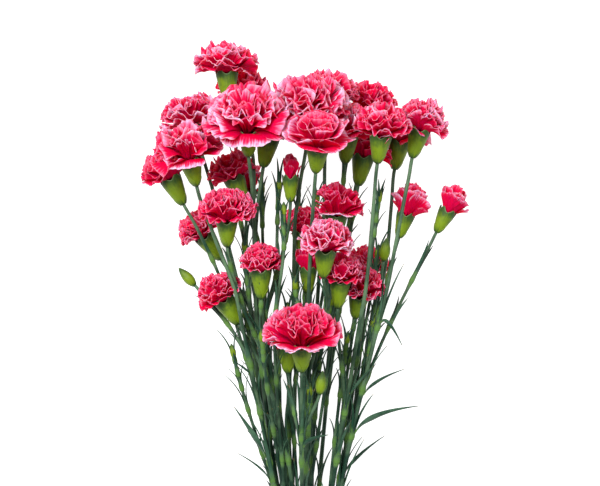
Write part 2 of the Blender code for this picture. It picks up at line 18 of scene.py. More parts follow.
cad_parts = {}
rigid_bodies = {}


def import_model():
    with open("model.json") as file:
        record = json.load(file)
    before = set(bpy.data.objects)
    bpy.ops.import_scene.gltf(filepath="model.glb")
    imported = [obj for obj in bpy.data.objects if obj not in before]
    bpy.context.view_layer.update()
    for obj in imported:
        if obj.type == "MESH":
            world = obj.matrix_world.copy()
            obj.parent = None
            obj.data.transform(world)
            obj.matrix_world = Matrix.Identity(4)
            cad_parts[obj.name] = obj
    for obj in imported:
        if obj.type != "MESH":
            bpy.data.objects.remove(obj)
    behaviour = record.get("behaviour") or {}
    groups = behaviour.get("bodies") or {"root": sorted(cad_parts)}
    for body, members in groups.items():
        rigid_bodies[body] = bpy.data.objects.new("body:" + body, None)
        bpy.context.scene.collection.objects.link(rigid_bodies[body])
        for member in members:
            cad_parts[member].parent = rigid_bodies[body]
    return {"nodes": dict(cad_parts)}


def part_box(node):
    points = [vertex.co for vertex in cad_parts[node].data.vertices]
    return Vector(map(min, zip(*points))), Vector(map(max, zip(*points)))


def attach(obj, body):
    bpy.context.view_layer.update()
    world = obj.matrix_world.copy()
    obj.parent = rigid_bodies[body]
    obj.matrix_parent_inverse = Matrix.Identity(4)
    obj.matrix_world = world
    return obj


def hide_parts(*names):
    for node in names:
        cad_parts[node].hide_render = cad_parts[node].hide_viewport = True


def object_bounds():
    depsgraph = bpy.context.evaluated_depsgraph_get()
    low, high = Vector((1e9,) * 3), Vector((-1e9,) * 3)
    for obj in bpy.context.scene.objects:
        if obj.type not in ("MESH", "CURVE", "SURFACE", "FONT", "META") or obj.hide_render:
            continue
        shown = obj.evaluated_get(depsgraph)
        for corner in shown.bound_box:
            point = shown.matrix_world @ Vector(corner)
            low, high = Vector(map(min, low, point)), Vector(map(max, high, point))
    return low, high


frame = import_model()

SOLID_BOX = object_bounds()
MM = 0.001
print(len(frame["nodes"]), "solids in", [[round(v / MM, 1) for v in corner] for corner in SOLID_BOX])

# %% [markdown]
# ## How the bunch is arranged
# Everything that is modelled here has to sit where the plain solids are. The flowers and stems of those
# solids came from a short list and a few rules, so the same list and rules are used again. Lengths in this
# part are in millimetres, counted from the middle of the band: x to the right, y along the bunch, z up off
# the table.

# %% The list of flowers and leaves
CUT_END_Y = -118.0  # where the stems were cut, below the band
BAND_INNER = 9.6
BAND_THICKNESS = 1.6
BAND_WIDTH = 8.0
BAND_SIDES = 16
END_SPREAD = 1.55  # how much wider the cut ends stand than the stems inside the band

MAIN_STEM_FOOT = 1.65  # radius of a main stem at its cut end
MAIN_STEM_TOP = 1.15
SHOOT_RADIUS = 1.05
KNUCKLE = 1.45  # a swollen node against the stem that carries it
KNUCKLE_REACH = 4.5
NODE_SPACING = 11.0  # nodes nearer than this to another are left smooth

CALYX = {  # kind of flower, bud or shoot tip: length and widest radius of its green part
    "open": (23.0, 6.4),
    "half": (19.0, 5.2),
    "bud": (15.0, 3.6),
    "tip": (9.0, 2.1),
}
SEAT_GAP = 0.3  # petals stand this far off the calyx, and leaves off their stem
BLOOM_SIDES = 12
TIP_RADIUS = 2.1

STATION_STEP = 15.0  # stems are laid out at cross-sections this far apart
STEM_CLEARANCE = 0.7
FLOWER_CLEARANCE = 0.5
FLOWER_REACH = 25.0  # balls further apart than this at first never meet
FLOWER_ROUNDS = 260
FLOWER_STEP = 0.6  # share of an overlap that one round takes away
FLOWER_PARTING = np.array([0.35, 0.35, 1.0])  # heads part more up and down than sideways
HOME_PULL = 0.01
PETAL_CLEARANCE = 1.4
STEM_ROUNDS = 320
STEM_EASE = 0.45
LATE_EASE = 0.1
BAND_MARGIN = 0.4
TABLE_MARGIN = 0.2
STRAIGHT_END = 8.0  # the last part below a calyx isn't moved
STEEPEST = 0.9  # most that a stem slopes sideways where it meets its calyx
GATHERING = 0.07  # how far a stem stands from the band's middle, against its flower
SAMPLES = (0.0, 1 / 3, 2 / 3)  # where clearances are looked at, from one station to the next
PASSING = np.array([0.6, 1.0])  # crossing stems part more over and under each other than sideways
WAIST_LEAN = 0.5  # how steeply the stems fan out at the band, against straight lines to their flowers

# Each flower: name, stem, where its calyx opens (x, y, z from the band, on the table), how far it leans to
# the right and tips up off the table in degrees, bloom radius, kind, and the y of its fork, where its shoot
# leaves the main stem. The flower with no fork ends the main stem.
FLOWERS = [
    ("crown", 1, (-49, 370, 44), -3, 0, 20, "open", None),
    ("crown_back", 1, (-39, 355, 16), 8, 0, 16, "open", 190),
    ("crown_low", 1, (-35, 296, 11), 5, 0, 10, "half", 145),
    ("left_high", 2, (-70, 337, 40), -18, 5, 19, "open", None),
    ("left_inner", 2, (-48, 303, 40), -22, 0, 15, "open", 160),
    ("left_wide", 3, (-72, 315, 90), -14, 20, 22, "open", None),
    ("left_outer", 3, (-86, 303, 50), -27, 0, 16, "open", 150),
    ("left_bud", 3, (-79, 243, 40), -43, 0, 3.8, "bud", 175),
    ("front_left", 4, (-34, 332, 104), 0, 30, 26, "open", None),
    ("front_dome", 4, (-48, 278, 88), 0, 22, 17, "open", 167),
    ("middle_left", 5, (-20, 328, 60), 10, 5, 21, "open", None),
    ("middle_closed", 5, (-9, 303, 68), 0, 0, 7, "half", 178),
    ("low_left", 5, (-27, 247, 80), 0, 10, 12.5, "open", 144),
    ("middle_top", 6, (3, 340, 74), 5, 28, 24, "open", None),
    ("middle_hidden", 6, (-2, 270, 42), -5, 0, 13, "open", 137),
    ("front_cup", 7, (8, 322, 114), 5, 30, 20, "open", None),
    ("front_low_cup", 7, (14, 259, 98), 5, 18, 16, "open", 160),
    ("inner_low", 7, (2, 246, 56), 0, 0, 9, "half", 137),
    ("back_top", 8, (16, 350, 40), 5, 0, 19, "open", None),
    ("back_middle", 8, (26, 334, 68), 5, 15, 18, "open", 182),
    ("middle_low", 8, (20, 281, 66), 5, 5, 16, "open", 152),
    ("back_right", 9, (39, 345, 22), 8, 0, 18, "open", None),
    ("back_under", 9, (37, 317, 42), 10, -5, 17, "open", 167),
    ("right_front", 10, (48, 330, 94), 7, 15, 18, "open", None),
    ("right_low", 10, (22, 241, 82), 5, 15, 13, "open", 152),
    ("right_nod", 10, (34, 232, 66), 10, 30, 14, "open", 129),
    ("right_high", 11, (71, 333, 78), 15, 5, 16, "open", None),
    ("right_small", 11, (64, 280, 48), 17, 0, 13, "half", 174),
    ("right_far", 11, (91, 282, 40), 28, 0, 11, "half", 137),
    ("right_behind", 12, (60, 330, 30), 10, 0, 19, "open", None),
    ("right_bud", 12, (51, 262, 56), 8, 10, 3.6, "bud", 182),
    ("right_low_back", 12, (39, 244, 20), 5, 5, 14.5, "open", 152),
    ("left_low", 13, (-53, 228, 58), -30, 10, 14, "open", None),
    ("left_dark", 13, (-66, 267, 24), -35, 10, 14, "open", 129),
    ("front_low", 14, (-2, 201, 94), 0, 22, 23.5, "open", None),
    ("front_low_back", 14, (-12, 197, 62), -5, 0, 12, "half", 128),
    ("front_bud", 14, (11, 180, 80), 8, 10, 3.2, "bud", 144),
]

# Each shoot that ends in a small closed tip: name, stem, where the tip opens, its two angles and its fork.
TIPS = [
    ("crown", 1, (-27, 298, 24), 0, 0, 75),
    ("left", 2, (-40, 225, 36), -12, 5, 90),
    ("left_low", 2, (-46, 196, 50), -12, 10, 60),
    ("left_front", 4, (-27, 206, 84), -5, 15, 90),
    ("middle_high", 5, (-16, 300, 46), 3, 0, 60),
    ("middle_low", 6, (-11, 222, 40), 0, 5, 75),
    ("front", 7, (16, 228, 72), 0, 10, 60),
    ("back", 8, (8, 292, 30), 5, 0, 90),
    ("back_low", 8, (10, 200, 34), 5, 5, 60),
    ("right_back", 9, (30, 282, 24), 8, 0, 60),
    ("right_front", 10, (27, 204, 52), 8, 10, 75),
    ("right_high", 11, (47, 292, 58), 10, 5, 90),
    ("right_low", 12, (44, 214, 40), 12, 5, 75),
    ("left_back", 13, (-34, 192, 24), -15, 5, 60),
    ("front_low", 14, (3, 172, 58), 0, 15, 75),
    ("front_high", 4, (-13, 284, 88), 3, 5, 75),
    ("middle_back", 6, (-4, 300, 20), 0, 0, 90),
    ("middle_front", 7, (-6, 238, 72), 0, 10, 75),
    ("right_middle", 10, (46, 258, 50), 8, 5, 60),
    ("left_middle", 2, (-38, 262, 58), -5, 5, 75),
]
FLOWERS += [(f"tip_{name}", *row, TIP_RADIUS, "tip", fork) for name, *row, fork in TIPS]

# Each leaf: name, stem, the y of its node, where its tip stands from there (x, y, z), its width, and how far
# its blade is turned about its own length, in degrees.
LEAVES = [
    ("leaf_left_wide", 3, 120, (-20, 32, 5), 5.2, 50),
    ("leaf_left_thin", 3, 104, (-21, 18, -6), 2.4, 20),
    ("leaf_right_long", 11, 136, (40, 17, 4), 4.4, -55),
    ("leaf_right_thin", 12, 108, (26, 25, 3), 2.8, -35),
    ("leaf_right_high", 11, 160, (25, 16, 2), 2.6, -30),
    ("leaf_right_arched", 11, 205, (13, -14, 4), 3.0, -40),
    ("leaf_left_tip", 3, 172, (-11, 9, 1), 1.9, 40),
    ("leaf_front", 14, 128, (15, 8, 9), 3.6, -60),
    ("leaf_inner_right", 10, 160, (14, 18, 6), 2.4, -40),
    ("leaf_band_left", 2, 60, (-16, 30, 0), 3.6, 40),
    ("leaf_band_right", 9, 66, (18, 32, 0), 3.6, -40),
]
print(len(FLOWERS) - len(TIPS), "flowers and buds,", len(TIPS), "tips,", len(LEAVES), "leaves")

# %% [markdown]
# A flower is known by the point where its green calyx opens, the way its axis leans, and its size. For
# keeping flowers apart, balls that fill it are handy: two flowers are clear when none of their balls touch.

# %% One flower
class Flower:
    """One head on its calyx, or one bud, or the small closed tip of a shoot without a flower."""

    def __init__(self, name, stem, mouth, lean, tip, radius, kind, fork):
        self.name = name
        self.stem = stem
        self.mouth = np.array(mouth, float)
        lean, tip = math.radians(lean), math.radians(tip)
        self.axis = np.array(
            [math.sin(lean) * math.cos(tip), math.cos(lean) * math.cos(tip), math.sin(tip)]
        )
        self.radius = radius
        self.kind = kind
        self.closed = kind in ("bud", "tip")
        self.fork = fork
        self.calyx_length, self.calyx_radius = CALYX[kind]
        self.height = {"open": 0.62 * radius + 4.0, "half": radius + 4.0}.get(kind, 0.0)
        if kind == "open":
            self.calyx_radius *= 0.82 + 0.18 * min(1.0, radius / 20)
        if kind == "half":
            self.calyx_radius *= 0.75 + 0.25 * min(1.0, radius / 12)

    def side_axes(self):
        """Two directions square to the flower's axis."""
        across = np.cross(self.axis, (0.0, 0.0, 1.0))
        across /= np.linalg.norm(across)
        return across, np.cross(across, self.axis)

    def calyx_base(self):
        return self.mouth - self.axis * self.calyx_length

    def balls(self):
        """Balls that fill the flower, as offsets from its mouth and radii."""
        across, over = self.side_axes()
        found = [(-self.axis * self.calyx_length * share, self.calyx_radius * size)
                 for share, size in ((0.15, 1.0), (0.5, 0.95), (0.8, 0.7), (1.15, 0.28), (1.45, 0.26))]
        if self.closed:
            return found
        thick = 0.46 * self.height if self.kind == "open" else min(0.45 * self.height, self.radius)
        found.append((self.axis * 0.5 * self.height, thick))
        for share, count in ((1.0, BLOOM_SIDES), (0.5, 6)):
            ring = (self.radius - thick) * share
            for turn in range(count if ring > 1.0 else 0):
                angle = math.tau * turn / count
                sideways = across * math.cos(angle) + over * math.sin(angle)
                found.append((self.axis * 0.48 * self.height + sideways * ring, thick))
        return found


print("a flower of radius 20 is filled by", len(Flower(*FLOWERS[0]).balls()), "balls")


# %% Moving the flowers apart
def all_balls(flowers):
    """The balls of every flower: whose they are, their offsets from its mouth, and their radii."""
    rows = [(i, *ball) for i, f in enumerate(flowers) for ball in f.balls()]
    return tuple(np.array(column) for column in zip(*rows))


def spread_flowers(flowers):
    """Moves the heads apart until none touches another, and lifts them onto the table."""
    home = np.array([f.mouth for f in flowers])
    place = home.copy()
    owner, offset, size = all_balls(flowers)
    first, second = np.nonzero(owner[:, None] < owner[None, :])
    start = (place[owner] + offset)[first] - (place[owner] + offset)[second]
    near = np.linalg.norm(start, axis=1) < size[first] + size[second] + FLOWER_REACH
    first, second = first[near], second[near]
    for turn in range(FLOWER_ROUNDS):
        centre = place[owner] + offset
        apart = centre[first] - centre[second]
        distance = np.linalg.norm(apart, axis=1) + 1e-9
        overlap = size[first] + size[second] + FLOWER_CLEARANCE - distance
        hit = overlap > 0
        push = (apart * (overlap / distance)[:, None])[hit]
        move = np.zeros_like(place)
        np.add.at(move, owner[first[hit]], push)
        np.add.at(move, owner[second[hit]], -push)
        count = np.bincount(owner[first[hit]], minlength=len(place))
        count = count + np.bincount(owner[second[hit]], minlength=len(place))
        place += FLOWER_STEP * move / np.maximum(count, 1)[:, None] * FLOWER_PARTING
        if turn < 0.6 * FLOWER_ROUNDS:
            place += HOME_PULL * (home - place)
        lowest = np.full(len(place), np.inf)
        np.minimum.at(lowest, owner, (place[owner] + offset)[:, 2] - size)
        place[:, 2] -= np.minimum(lowest, 0)
    for flower, mouth in zip(flowers, place):
        flower.mouth = mouth


print("heads are moved in", FLOWER_ROUNDS, "rounds")


# %% [markdown]
# Stems are laid out on cross-sections, one every 15 mm. Each starts as a smooth cubic from the band to its
# flower. Then all of them are eased past each other and past the flowers, a little at a time, as threads in
# a bundle settle. It is the same idea as a cloth simulation, with far fewer points.

# %% The first line of each stem
def node_heights(number, station):
    """Where a main stem is swollen: at its forks, and at those leaf nodes that stand clear of a fork."""
    asked = [row[-1] for row in FLOWERS if row[1] == number and row[-1]]
    forks = [float(station[np.argmin(abs(station - y))]) for y in asked]
    leaves = [float(row[2]) for row in LEAVES if row[1] == number]
    found = []
    for y in sorted(forks) + sorted(leaves):
        if all(abs(y - other) > NODE_SPACING for other in found):
            found.append(y)
    return sorted(found)


def hermite(start, start_slope, end, end_slope, share, length):
    """A cubic between two points, in a cross-section's x and z, with its slopes along y."""
    s = share[:, None]
    return (
        (2 * s**3 - 3 * s**2 + 1) * start
        + (s**3 - 2 * s**2 + s) * length * start_slope
        + (3 * s**2 - 2 * s**3) * end
        + (s**3 - s**2) * length * end_slope
    )


class Strand:
    """The stem of one flower: from the cut end, or from its fork on the main stem, up to its calyx."""

    def __init__(self, flower, parent, station):
        self.flower = flower
        self.parent = parent
        base = flower.calyx_base()
        self.top = int(np.searchsorted(station, base[1] - 2.0)) - 1
        self.bottom = 0 if parent is None else int(np.argmin(abs(station - flower.fork)))
        slope = np.clip(flower.axis[[0, 2]] / flower.axis[1], -STEEPEST, STEEPEST)
        end = base[[0, 2]]
        self.path = np.zeros((len(station), 2))
        if parent is None:
            middle = np.array([0.0, BAND_INNER + BAND_THICKNESS])
            start = middle + (end - middle - (0, 30)) * GATHERING
            reach = np.clip(station / base[1], 0, 1)
            line = WAIST_LEAN * (end - start) / base[1]
            self.path[:] = hermite(start, line, end, slope, reach, base[1])
            below = station < 0
            self.path[below] = middle + (start - middle) * (
                1 + (END_SPREAD - 1) * (station[below] / CUT_END_Y)[:, None]
            )
        else:
            low = station[self.bottom]
            start = parent.path[self.bottom]
            line = (parent.path[self.bottom + 1] - parent.path[self.bottom - 1]) / (2 * STATION_STEP)
            share = np.clip((station - low) / (base[1] - low), 0, 1)
            self.path[:] = hermite(start, line, end, slope, share, base[1] - low)
        fixed_from = np.searchsorted(station, base[1] - STRAIGHT_END)
        rank = np.arange(len(station))
        self.nodes = node_heights(flower.stem, station) if parent is None else []
        self.live = (rank >= self.bottom) & (rank <= self.top)
        self.free = self.live & (rank < fixed_from)
        if parent is not None:
            self.free &= rank > self.bottom

    def radius_at(self, y):
        if self.parent is not None:
            return SHOOT_RADIUS
        share = (y - CUT_END_Y) / (self.flower.calyx_base()[1] - CUT_END_Y)
        return MAIN_STEM_FOOT + (MAIN_STEM_TOP - MAIN_STEM_FOOT) * share

    def room_at(self, y):
        """The radius that neighbours keep clear of: the stem's own, or its node's next to a node."""
        beside_node = any(abs(y - node) < KNUCKLE_REACH + STATION_STEP / 2 for node in self.nodes)
        return self.radius_at(y) * (KNUCKLE if beside_node else 1.0)


print("spray 3 is swollen at", node_heights(3, np.arange(CUT_END_Y, 315, STATION_STEP)))


# %% Easing stems past each other
def between_stations(rows, share):
    """What each row of values is at a share of the way from every station to the next one."""
    return (1 - share) * rows[:, :-1] + share * rows[:, 1:]


def stem_push(path, keep_apart, radius):
    """How far each station of each stem moves so that no two stems come too near, also between stations."""
    push = np.zeros_like(path)
    for share in SAMPLES:
        here = between_stations(path, share)
        room = between_stations(radius, share)
        gap = here[:, None] - here[None, :]
        need = room[:, None] + room[None, :] + STEM_CLEARANCE
        over = np.where(keep_apart, np.clip(need - np.linalg.norm(gap, axis=3), 0, None), 0)
        gap = gap * PASSING
        shift = (gap * (over / (np.linalg.norm(gap, axis=3) + 1e-9))[..., None]).sum(1)
        push[:, :-1] += (1 - share) * shift
        push[:, 1:] += share * shift
    return push / 3


class Obstacles:
    """The balls of the flowers, as discs in the cross-sections where the stems pass them."""

    def __init__(self, strands, flowers, station, carried, radius):
        owner, offset, size = all_balls(flowers)
        at = np.array([f.mouth for f in flowers])[owner] + offset
        flower_of = np.array([flowers.index(s.flower) for s in strands])
        self.found = []
        for share in SAMPLES:
            row, rank = np.nonzero(carried)
            y = station[rank] + share * STATION_STEP
            along = y[:, None] - at[None, :, 1]
            reach = (between_stations(radius, share)[row, rank] + PETAL_CLEARANCE)[:, None] + size[None, :]
            near = (abs(along) < reach) & (owner[None, :] != flower_of[row][:, None])
            point, ball = np.nonzero(near)
            disc = np.sqrt(reach[near] ** 2 - along[near] ** 2)
            self.found.append((share, row, rank, point, at[ball][:, [0, 2]], disc))

    def push(self, path):
        """How far each station moves to bring its stem out of the discs."""
        push = np.zeros_like(path)
        for share, row, rank, point, centre, disc in self.found:
            here = between_stations(path, share)[row, rank]
            gap = here[point] - centre
            distance = np.linalg.norm(gap, axis=1) + 1e-9
            over = np.clip(disc - distance, 0, None)
            total = np.zeros_like(here)
            hits = np.zeros(len(here))
            np.add.at(total, point, gap * (over / distance)[:, None])
            np.add.at(hits, point, over > 0)
            shift = total / np.maximum(hits, 1)[:, None]
            np.add.at(push, (row, rank), (1 - share) * shift)
            np.add.at(push, (row, rank + 1), share * shift)
        return push / 2


print("clearances are looked at every", STATION_STEP / len(SAMPLES), "mm")


# %% Settling the whole bunch
def spread_stems(strands, flowers, station):
    """Eases every stem past its neighbours and past the other flowers, and gathers them inside the band."""
    path = np.array([s.path for s in strands])
    live = np.array([s.live for s in strands])
    free = np.array([s.free for s in strands])
    radius = np.array([[s.room_at(y) for y in station] for s in strands])
    carried = live[:, :-1] & live[:, 1:]
    index = {id(s): i for i, s in enumerate(strands)}
    main_of = [index[id(s.parent or s)] for s in strands]
    keep_apart = carried[:, None] & carried[None, :]
    for i, a in enumerate(strands):
        keep_apart[i, i] = False
        for j, b in enumerate(strands):
            if i != j and main_of[i] == main_of[j]:
                keep_apart[i, j, : max(a.bottom, b.bottom) + 1] = False
    obstacles = Obstacles(strands, flowers, station, carried, radius)
    flat = math.cos(math.pi / BAND_SIDES)
    middle = np.array([0.0, BAND_INNER * flat + BAND_THICKNESS])
    in_band = abs(station) <= BAND_WIDTH / 2 + STATION_STEP
    room = BAND_INNER * flat - radius - BAND_MARGIN
    natural = path.copy()
    for turn in range(STEM_ROUNDS):
        bent = path - natural
        halfway = 0.5 * (bent[:, 2:] + bent[:, :-2])
        ease = STEM_EASE if turn < 0.7 * STEM_ROUNDS else LATE_EASE
        bent[:, 1:-1] += ease * (halfway - bent[:, 1:-1])
        path[free] = (natural + bent)[free]
        path[free] += stem_push(path, keep_apart, radius)[free]
        path[free] += obstacles.push(path)[free]
        offset = path - middle
        distance = np.linalg.norm(offset, axis=2) + 1e-9
        shrink = np.where(in_band & (distance > room), room / distance, 1.0)
        path = middle + offset * shrink[..., None]
        path[..., 1] = np.maximum(path[..., 1], radius + TABLE_MARGIN)
        for i, s in enumerate(strands):
            if s.parent is not None:
                path[i, s.bottom] = path[main_of[i], s.bottom]
    for s, settled in zip(strands, path):
        s.path = settled


def arrange():
    """The flowers, the strands that carry them, and the stations where the strands are known."""
    flowers = [Flower(*row) for row in FLOWERS]
    spread_flowers(flowers)
    top = max(f.mouth[1] for f in flowers)
    station = np.arange(CUT_END_Y, top, STATION_STEP)
    mains = {f.stem: Strand(f, None, station) for f in flowers if f.fork is None}
    strands = [mains[f.stem] if f.fork is None else Strand(f, mains[f.stem], station) for f in flowers]
    spread_stems(strands, flowers, station)
    return flowers, strands, station


def point_at(strand, station, y):
    """The strand's centre where it crosses y, as (x, y, z)."""
    x = np.interp(y, station, strand.path[:, 0])
    z = np.interp(y, station, strand.path[:, 1])
    return np.array([x, y, z])


FLOWER_LIST, STRANDS, STATION = arrange()
BAND_LOW, BAND_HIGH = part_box("rubber_band")
SHIFT = Vector(((BAND_LOW.x + BAND_HIGH.x) / 2, (BAND_LOW.y + BAND_HIGH.y) / 2, BAND_LOW.z))
print(len(STRANDS), "stems and side shoots; the band is at", [round(v / MM, 2) for v in SHIFT])


def placed(point):
    """A point of the arrangement as a point of the scene, in metres."""
    return Vector(point) * MM + SHIFT


# %% [markdown]
# ## Camera, floor and light
# The bunch lies on its back, so it is seen best from straight above. A long lens from far away keeps the
# heads that stand high from growing larger than the ones below. The floor is plain and nearly white, under
# wide soft lamps, so that shadows stay faint and the colours stay clean.

# %% Camera
VIEW_WIDTH = 0.372  # metres that the view takes in, at the height of the flowers
VIEW_CENTRE = placed((-3.1, 258.5, 60.0))
CAMERA_HEIGHT = 2.6


def linked(name, data):
    """A new object in the scene."""
    made = bpy.data.objects.new(name, data)
    bpy.context.scene.collection.objects.link(made)
    return made


camera = linked("camera", bpy.data.cameras.new("camera"))
camera.location = (VIEW_CENTRE.x, VIEW_CENTRE.y, VIEW_CENTRE.z + CAMERA_HEIGHT)
camera.data.lens = camera.data.sensor_width * CAMERA_HEIGHT / VIEW_WIDTH
camera.data.clip_end = 20
camera.data.dof.use_dof = False
bpy.context.scene.camera = camera
print("lens", round(camera.data.lens), "mm at", round(CAMERA_HEIGHT, 2), "m")

# %% Lamps and the sky
SKY_STRENGTH = 0.23
LAMPS = [  # name, place from the flowers, width, power
    ("key_lamp", (-0.6, 0.6, 1.8), 0.8, 64),
    ("fill_lamp", (1.1, 0.3, 1.5), 1.2, 12),
    ("low_lamp", (0.0, -1.4, 1.2), 1.2, 6),
]
bpy.context.scene.view_settings.view_transform = "Standard"


def add_lamp(name, place, size, power):
    """A square lamp aimed at the flowers."""
    lamp = linked(name, bpy.data.lights.new(name, "AREA"))
    lamp.data.size = size
    lamp.data.energy = power
    lamp.location = placed((0, 240, 0)) + Vector(place)
    aim = placed((0, 240, 30)) - lamp.location
    lamp.rotation_mode = "QUATERNION"
    lamp.rotation_quaternion = aim.to_track_quat("-Z", "Y")


for lamp_row in LAMPS:
    add_lamp(*lamp_row)
world = bpy.data.worlds.new("studio")
bpy.context.scene.world = world
world.use_nodes = True
sky = world.node_tree.nodes["Background"].inputs
sky["Color"].default_value = (1, 1, 1, 1)
sky["Strength"].default_value = SKY_STRENGTH
print(len(LAMPS), "lamps")

# %% [markdown]
# ## Writing materials as sums
# A material is a small calculation that is done at every point of a surface. Wiring it node by node is hard
# to read. Here a socket is wrapped so that + - * and ** add the Math nodes, and a finish reads like a
# formula.


# %% Sockets that can be added and multiplied
class Wire:
    """One value on its way through a material. Arithmetic on it adds Math nodes."""

    def __init__(self, paint, socket):
        self.paint = paint
        self.socket = socket

    def math(self, operation, *values):
        settings = {"operation": operation}
        return self.paint.node("ShaderNodeMath", settings, dict(enumerate(values)))

    def __add__(self, other):
        return self.math("ADD", self, other)

    def __mul__(self, other):
        return self.math("MULTIPLY", self, other)

    def __sub__(self, other):
        return self.math("SUBTRACT", self, other)

    def __rsub__(self, other):
        return self.math("SUBTRACT", other, self)

    def __pow__(self, other):
        return self.math("POWER", self, other)

    def __abs__(self):
        return self.math("ABSOLUTE", self)

    def fraction(self):
        return self.math("FRACT", self)

    __radd__ = __add__
    __rmul__ = __mul__


class Paint:
    """A material under construction."""

    def __init__(self, name):
        self.material = bpy.data.materials.new(name)
        self.material.use_nodes = True
        self.tree = self.material.node_tree
        self.shader = self.tree.nodes["Principled BSDF"]

    def set(self, socket, value):
        if isinstance(value, Wire):
            self.tree.links.new(value.socket, socket)
        elif isinstance(value, tuple) and len(value) == 3 and socket.type == "RGBA":
            socket.default_value = (*value, 1)
        else:
            socket.default_value = value

    def node(self, kind, settings, values, output=0):
        """Adds one node: its settings first, then the values or wires of its sockets."""
        made = self.tree.nodes.new(kind)
        for key, value in settings.items():
            setattr(made, key, value)
        for key, value in values.items():
            self.set(made.inputs[key], value)
        return Wire(self, made.outputs[output])

    def attribute(self, name):
        return self.node("ShaderNodeAttribute", {"attribute_name": name}, {}, "Fac")

    def place(self):
        return self.node("ShaderNodeTexCoord", {}, {}, "Object")

    def surface(self):
        """Across and along the piece, from its own UV map."""
        uv = self.node("ShaderNodeUVMap", {"uv_map": "along"}, {})
        return [self.node("ShaderNodeSeparateXYZ", {}, {0: uv}, axis) for axis in ("X", "Y")]

    def point(self, x, y, z=0.0):
        return self.node("ShaderNodeCombineXYZ", {}, {"X": x, "Y": y, "Z": z})

    def noise(self, vector, scale, detail=2.0):
        values = {"Vector": vector, "Scale": scale, "Detail": detail}
        return self.node("ShaderNodeTexNoise", {}, values, "Fac")

    def step(self, value, low, high):
        """0 below low, 1 above high, and a soft step between them."""
        values = {"Value": value, "From Min": low, "From Max": high}
        return self.node("ShaderNodeMapRange", {"interpolation_type": "SMOOTHSTEP"}, values)

    def mix(self, share, first, second):
        """From one colour to another."""
        return self.node("ShaderNodeMix", {"data_type": "RGBA"}, {0: share, 6: first, 7: second}, 2)

    def finish(self, bump=None, **values):
        for key, value in values.items():
            self.set(self.shader.inputs[key.replace("_", " ").title().replace("Ior", "IOR")], value)
        if bump:
            height, distance = bump
            settings = {"Height": height, "Distance": distance, "Strength": 0.6}
            self.set(self.shader.inputs["Normal"], self.node("ShaderNodeBump", {}, settings))
        print(self.material.name, "finish:", len(self.tree.nodes), "nodes")
        return self.material


print("materials can now be written with + - * ** and abs")


# %% [markdown]
# ## Petals: the finish
# A carnation petal is crimson pink in the middle and almost white at its fringed margin. The pale edge
# isn't an even band: it runs inwards along fine veins. So a stretched noise is added to the distance along
# the petal before it is compared with the place where the margin begins. Inner petals keep less of the
# pale margin, so they are a fuller red. Each petal is also painted a darker red towards its foot, deep in
# the flower: that is painted shade.

# %% Petal finish
SHADED_DEEP_RED = (0.50, 0.0, 0.030)
CRIMSON = (0.61, 0.001, 0.043)
ROSE = (0.65, 0.060, 0.20)
PALE_PINK = (0.78, 0.43, 0.59)
VEIN_RED = (0.40, 0.0, 0.025)


def petal_finish():
    paint = Paint("petal")
    across, along = paint.surface()
    shade = paint.attribute("shade")
    veins = paint.noise(paint.point(across * 32, along * 1.8, shade * 9), 1.0, 3.0)
    patches = paint.noise(paint.point(across * 4, along * 3, shade * 17), 1.0)
    side = abs(across - 0.5) * 2
    reach = along + 0.08 * side**4 + 0.8 * (veins - 0.5) + 0.4 * (patches - 0.5) + 0.22 * (shade - 0.6)
    blush = paint.step(reach, 0.62, 0.96)
    margin = paint.step(reach, 0.71, 1.1)
    # Painted shade: each petal darkens to a deeper red towards its foot, deep in the bloom.
    base = paint.mix(paint.step(along, 0.1, 0.6), SHADED_DEEP_RED, CRIMSON)
    base = paint.mix(0.45 * paint.step(veins, 0.5, 0.75), base, VEIN_RED)
    colour = paint.mix(blush * (0.3 + 0.6 * shade), base, ROSE)
    colour = paint.mix(margin * (0.2 + 0.72 * shade), colour, PALE_PINK)
    return paint.finish(
        base_color=colour,
        roughness=0.6 + 0.15 * veins,
        specular_ior_level=0.03,
        subsurface_weight=0.4,
        subsurface_scale=0.003,
        bump=(veins, 0.0004),
    )


PETAL = petal_finish()

# %% [markdown]
# ## Greens: the finish
# Stems are dark blue-green under a pale waxy bloom that rubs off in patches, and they are painted lighter
# towards the heads and darker towards the cut ends: painted light and shade. Where a stem is swollen at a
# node it turns fresh yellow-green. The calyx goes from yellow-green low down to a darker green at its five
# teeth. That darker top is partly its own green and partly painted shade from the petals above it, and its
# darker foot is painted shade. Each stem carries an attribute that says how near a node a point is, and the
# UV map of a calyx runs from its foot to its teeth, so both finishes follow the shape exactly.

# %% Stem, calyx and leaf finishes
STEM_DARK = (0.003, 0.022, 0.013)
STEM_WAX = (0.096, 0.170, 0.088)
NODE_GREEN = (0.075, 0.165, 0.03)
CALYX_FOOT_SHADE = (0.035, 0.085, 0.010)
CALYX_LOW = (0.135, 0.21, 0.006)
CALYX_TOP_GREEN_AND_SHADE = (0.026, 0.068, 0.012)
CALYX_EDGE = (0.28, 0.36, 0.16)
LEAF_DARK = (0.009, 0.042, 0.022)
LEAF_WAX = (0.072, 0.150, 0.088)
TIP_BROWN = (0.16, 0.12, 0.04)
PITH = (0.62, 0.66, 0.42)
GREEN_GLOSS = 0.2
TEETH = 5  # of a calyx


